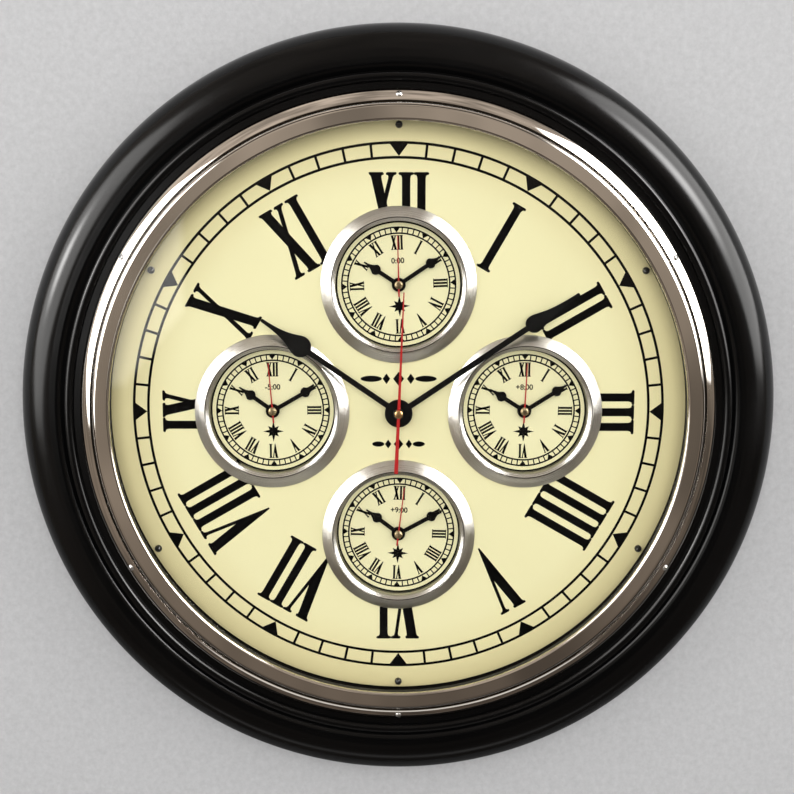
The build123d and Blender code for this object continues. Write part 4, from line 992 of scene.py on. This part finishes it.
# %% Lamps
def soft_lamp(name, place, width, height, watts, colour):
    """Rectangular lamp that points from its place at the clock, and that mirrors don't show."""
    data = bpy.data.lights.new(name, "AREA")
    data.shape, data.size, data.size_y = "RECTANGLE", width, height
    data.energy, data.color = watts, colour
    lamp = bpy.data.objects.new(name, data)
    bpy.context.scene.collection.objects.link(lamp)
    aim = (-Vector(place)).to_track_quat("-Z", "Y")
    lamp.matrix_world = Matrix.Translation(place) @ aim.to_matrix().to_4x4()
    lamp.visible_glossy = lamp.visible_transmission = False


SOFT_WHITE = (1.0, 0.99, 0.975)
soft_lamp("front_lamp", (0.0, -1.7, 0.38), width=1.2, height=1.0, watts=18.5, colour=SOFT_WHITE)
for side in (-1, 1):
    soft_lamp(f"side_lamp_{side}", (1.16 * side, -0.80, 0.50), width=1.3, height=1.5, watts=7.5, colour=SOFT_WHITE)
    soft_lamp(f"back_lamp_{side}", (side, 1.3, 0.7), width=0.8, height=0.8, watts=42.0, colour=(1, 1, 1))
print("lamps", len(bpy.data.lights))

# %% [markdown]
# Polished metal, lacquer and glass show the room itself. A room could be built from meshes, but only its mirror
# image counts here, so it is painted on the world instead, by direction. A patch of light is a range of directions
# round a middle one, and its soft edge is a ramp.

# %% Directions in the room
EIGHT_SIDED = 1.42


def lean(tree, toward, direction):
    """Dot product of a ray and a direction: 1 along it, 0 across it."""
    made = tree.node_tree.nodes.new("ShaderNodeVectorMath")
    made.operation = "DOT_PRODUCT"
    join(tree, made.inputs[0], toward)
    join(tree, made.inputs[1], direction)
    return made.outputs["Value"]


def soft_box(tree, toward, bearing, rise, half_wide, half_high, edge):
    """Eight-sided patch of directions, 1 inside and 0 outside. On the plane that faces its middle a ray lies a half
    widths across and b half heights up; the patch is where max(a, b, (a + b) / 1.42) is below 1."""
    turn_a, rise_a = radians(bearing), radians(rise)
    middle = (np.sin(turn_a) * np.cos(rise_a), -np.cos(turn_a) * np.cos(rise_a), np.sin(rise_a))
    across = (np.cos(turn_a), np.sin(turn_a), 0.0)
    up = (-np.sin(turn_a) * np.sin(rise_a), np.cos(turn_a) * np.sin(rise_a), np.cos(rise_a))
    ahead = calc(tree, "MAXIMUM", lean(tree, toward, middle), 0.001)
    shares = []
    for axis, half in ((across, half_wide), (up, half_high)):
        share = calc(tree, "DIVIDE", lean(tree, toward, axis), calc(tree, "MULTIPLY", ahead, half))
        shares.append(calc(tree, "ABSOLUTE", share))
    a, b = shares
    corner = calc(tree, "DIVIDE", calc(tree, "ADD", a, b), EIGHT_SIDED)
    reach = calc(tree, "MAXIMUM", calc(tree, "MAXIMUM", a, b), corner)
    return ramp(tree, reach, 1.0 - edge, 1.0, 1.0, 0.0)


def vector_sum(tree, operation, a, b):
    """Two colours added, or a colour scaled by a value."""
    made = tree.node_tree.nodes.new("ShaderNodeVectorMath")
    made.operation = operation
    join(tree, made.inputs[0], a)
    join(tree, made.inputs["Scale" if operation == "SCALE" else 1], b)
    return made.outputs[0]


print("steps of a patch:", [step.__name__ for step in (lean, soft_box, vector_sum)])

# %% [markdown]
# Rays that mirror off the clock meet a light ceiling, warm taupe walls, a dark floor with a pale table below the
# clock, a dark place round the camera, two soft boxes with a brighter middle, a window that the glass shows at the
# upper left, and a pale room behind the wall for the works. They stand where the photograph's highlights say. All
# other rays meet an even grey. Each patch is a bearing, a rise, two half sizes, a soft edge and a strength.

# %% Mirrored room
ROOM_STOPS = ((0.02, (0.12, 0.096, 0.078, 1)), (0.30, (0.22, 0.180, 0.146, 1)),
              (0.50, (0.38, 0.320, 0.262, 1)), (0.95, (0.66, 0.570, 0.490, 1)))
SOFT_BOXES = ((64, 25, 0.60, 0.53, 0.12, 9.0), (44, 23, 0.26, 0.20, 0.7, 30.0),
              (-54, 14, 0.53, 0.46, 0.12, 7.0), (-61, 14.6, 0.17, 0.15, 0.7, 36.0),
              (-14.6, -1.4, 0.088, 0.105, 0.08, 2.2), (0, -69, 0.68, 0.09, 0.15, 0.9),
              (150, 30, 0.55, 0.45, 0.3, 3.0), (-150, 30, 0.55, 0.45, 0.3, 3.0), (180, 0, 1.7, 1.2, 0.7, 0.9))
CAMERA_PLACE = (0.0, -0.985, -0.17)
AMBIENT_GREY = (0.31, 0.31, 0.315, 1)
BACKDROP = (0.60, 0.60, 0.605, 1)
world = bpy.data.worlds.new("room")
bpy.context.scene.world = world
world.use_nodes = True
world.node_tree.nodes.clear()
toward = add(world, "ShaderNodeTexCoord").outputs["Generated"]
across, _, rise = split(world, toward)
room = add(world, "ShaderNodeValToRGB", Fac=ramp(world, rise, -1.0, 1.0, 0.0, 1.0))
while len(room.color_ramp.elements) < len(ROOM_STOPS):
    room.color_ramp.elements.new(0.5)
for element, (place, colour) in zip(room.color_ramp.elements, ROOM_STOPS):
    element.position, element.color = place, colour
stretched = add(world, "ShaderNodeMapping", Vector=toward, Scale=(6.0, 6.0, 3.0))
furniture = ramp(world, noise(world, stretched.outputs[0], 1.0, 2.0), 0.38, 0.62, 0.60, 1.3)
camera_side = ramp(world, lean(world, toward, CAMERA_PLACE), 0.95, 0.98, 1.0, 0.1)
window_side = ramp(world, across, -1.0, 1.0, 1.25, 0.65)
shade = calc(world, "MULTIPLY", furniture, calc(world, "MULTIPLY", camera_side, window_side))
mirrored = vector_sum(world, "SCALE", room.outputs[0], shade)
for bearing, height, half_wide, half_high, edge, strength in SOFT_BOXES:
    patch = soft_box(world, toward, bearing, height, half_wide, half_high, edge)
    glow = vector_sum(world, "SCALE", SOFT_WHITE, calc(world, "MULTIPLY", patch, strength))
    mirrored = vector_sum(world, "ADD", mirrored, glow)
path = add(world, "ShaderNodeLightPath")
sharp_ray = calc(world, "MAXIMUM", path.outputs["Is Glossy Ray"], path.outputs["Is Transmission Ray"])
surround = mixed(world, sharp_ray, AMBIENT_GREY, mirrored)
sky = add(world, "ShaderNodeBackground", Strength=1.0)
join(world, sky.inputs["Color"], mixed(world, path.outputs["Is Camera Ray"], surround, BACKDROP))
world_output = world.node_tree.nodes.new("ShaderNodeOutputWorld")
world.node_tree.links.new(sky.outputs[0], world_output.inputs["Surface"])
bpy.context.scene.view_settings.view_transform = "Standard"
print("light patches", len(SOFT_BOXES), "world nodes", len(world.node_tree.nodes))
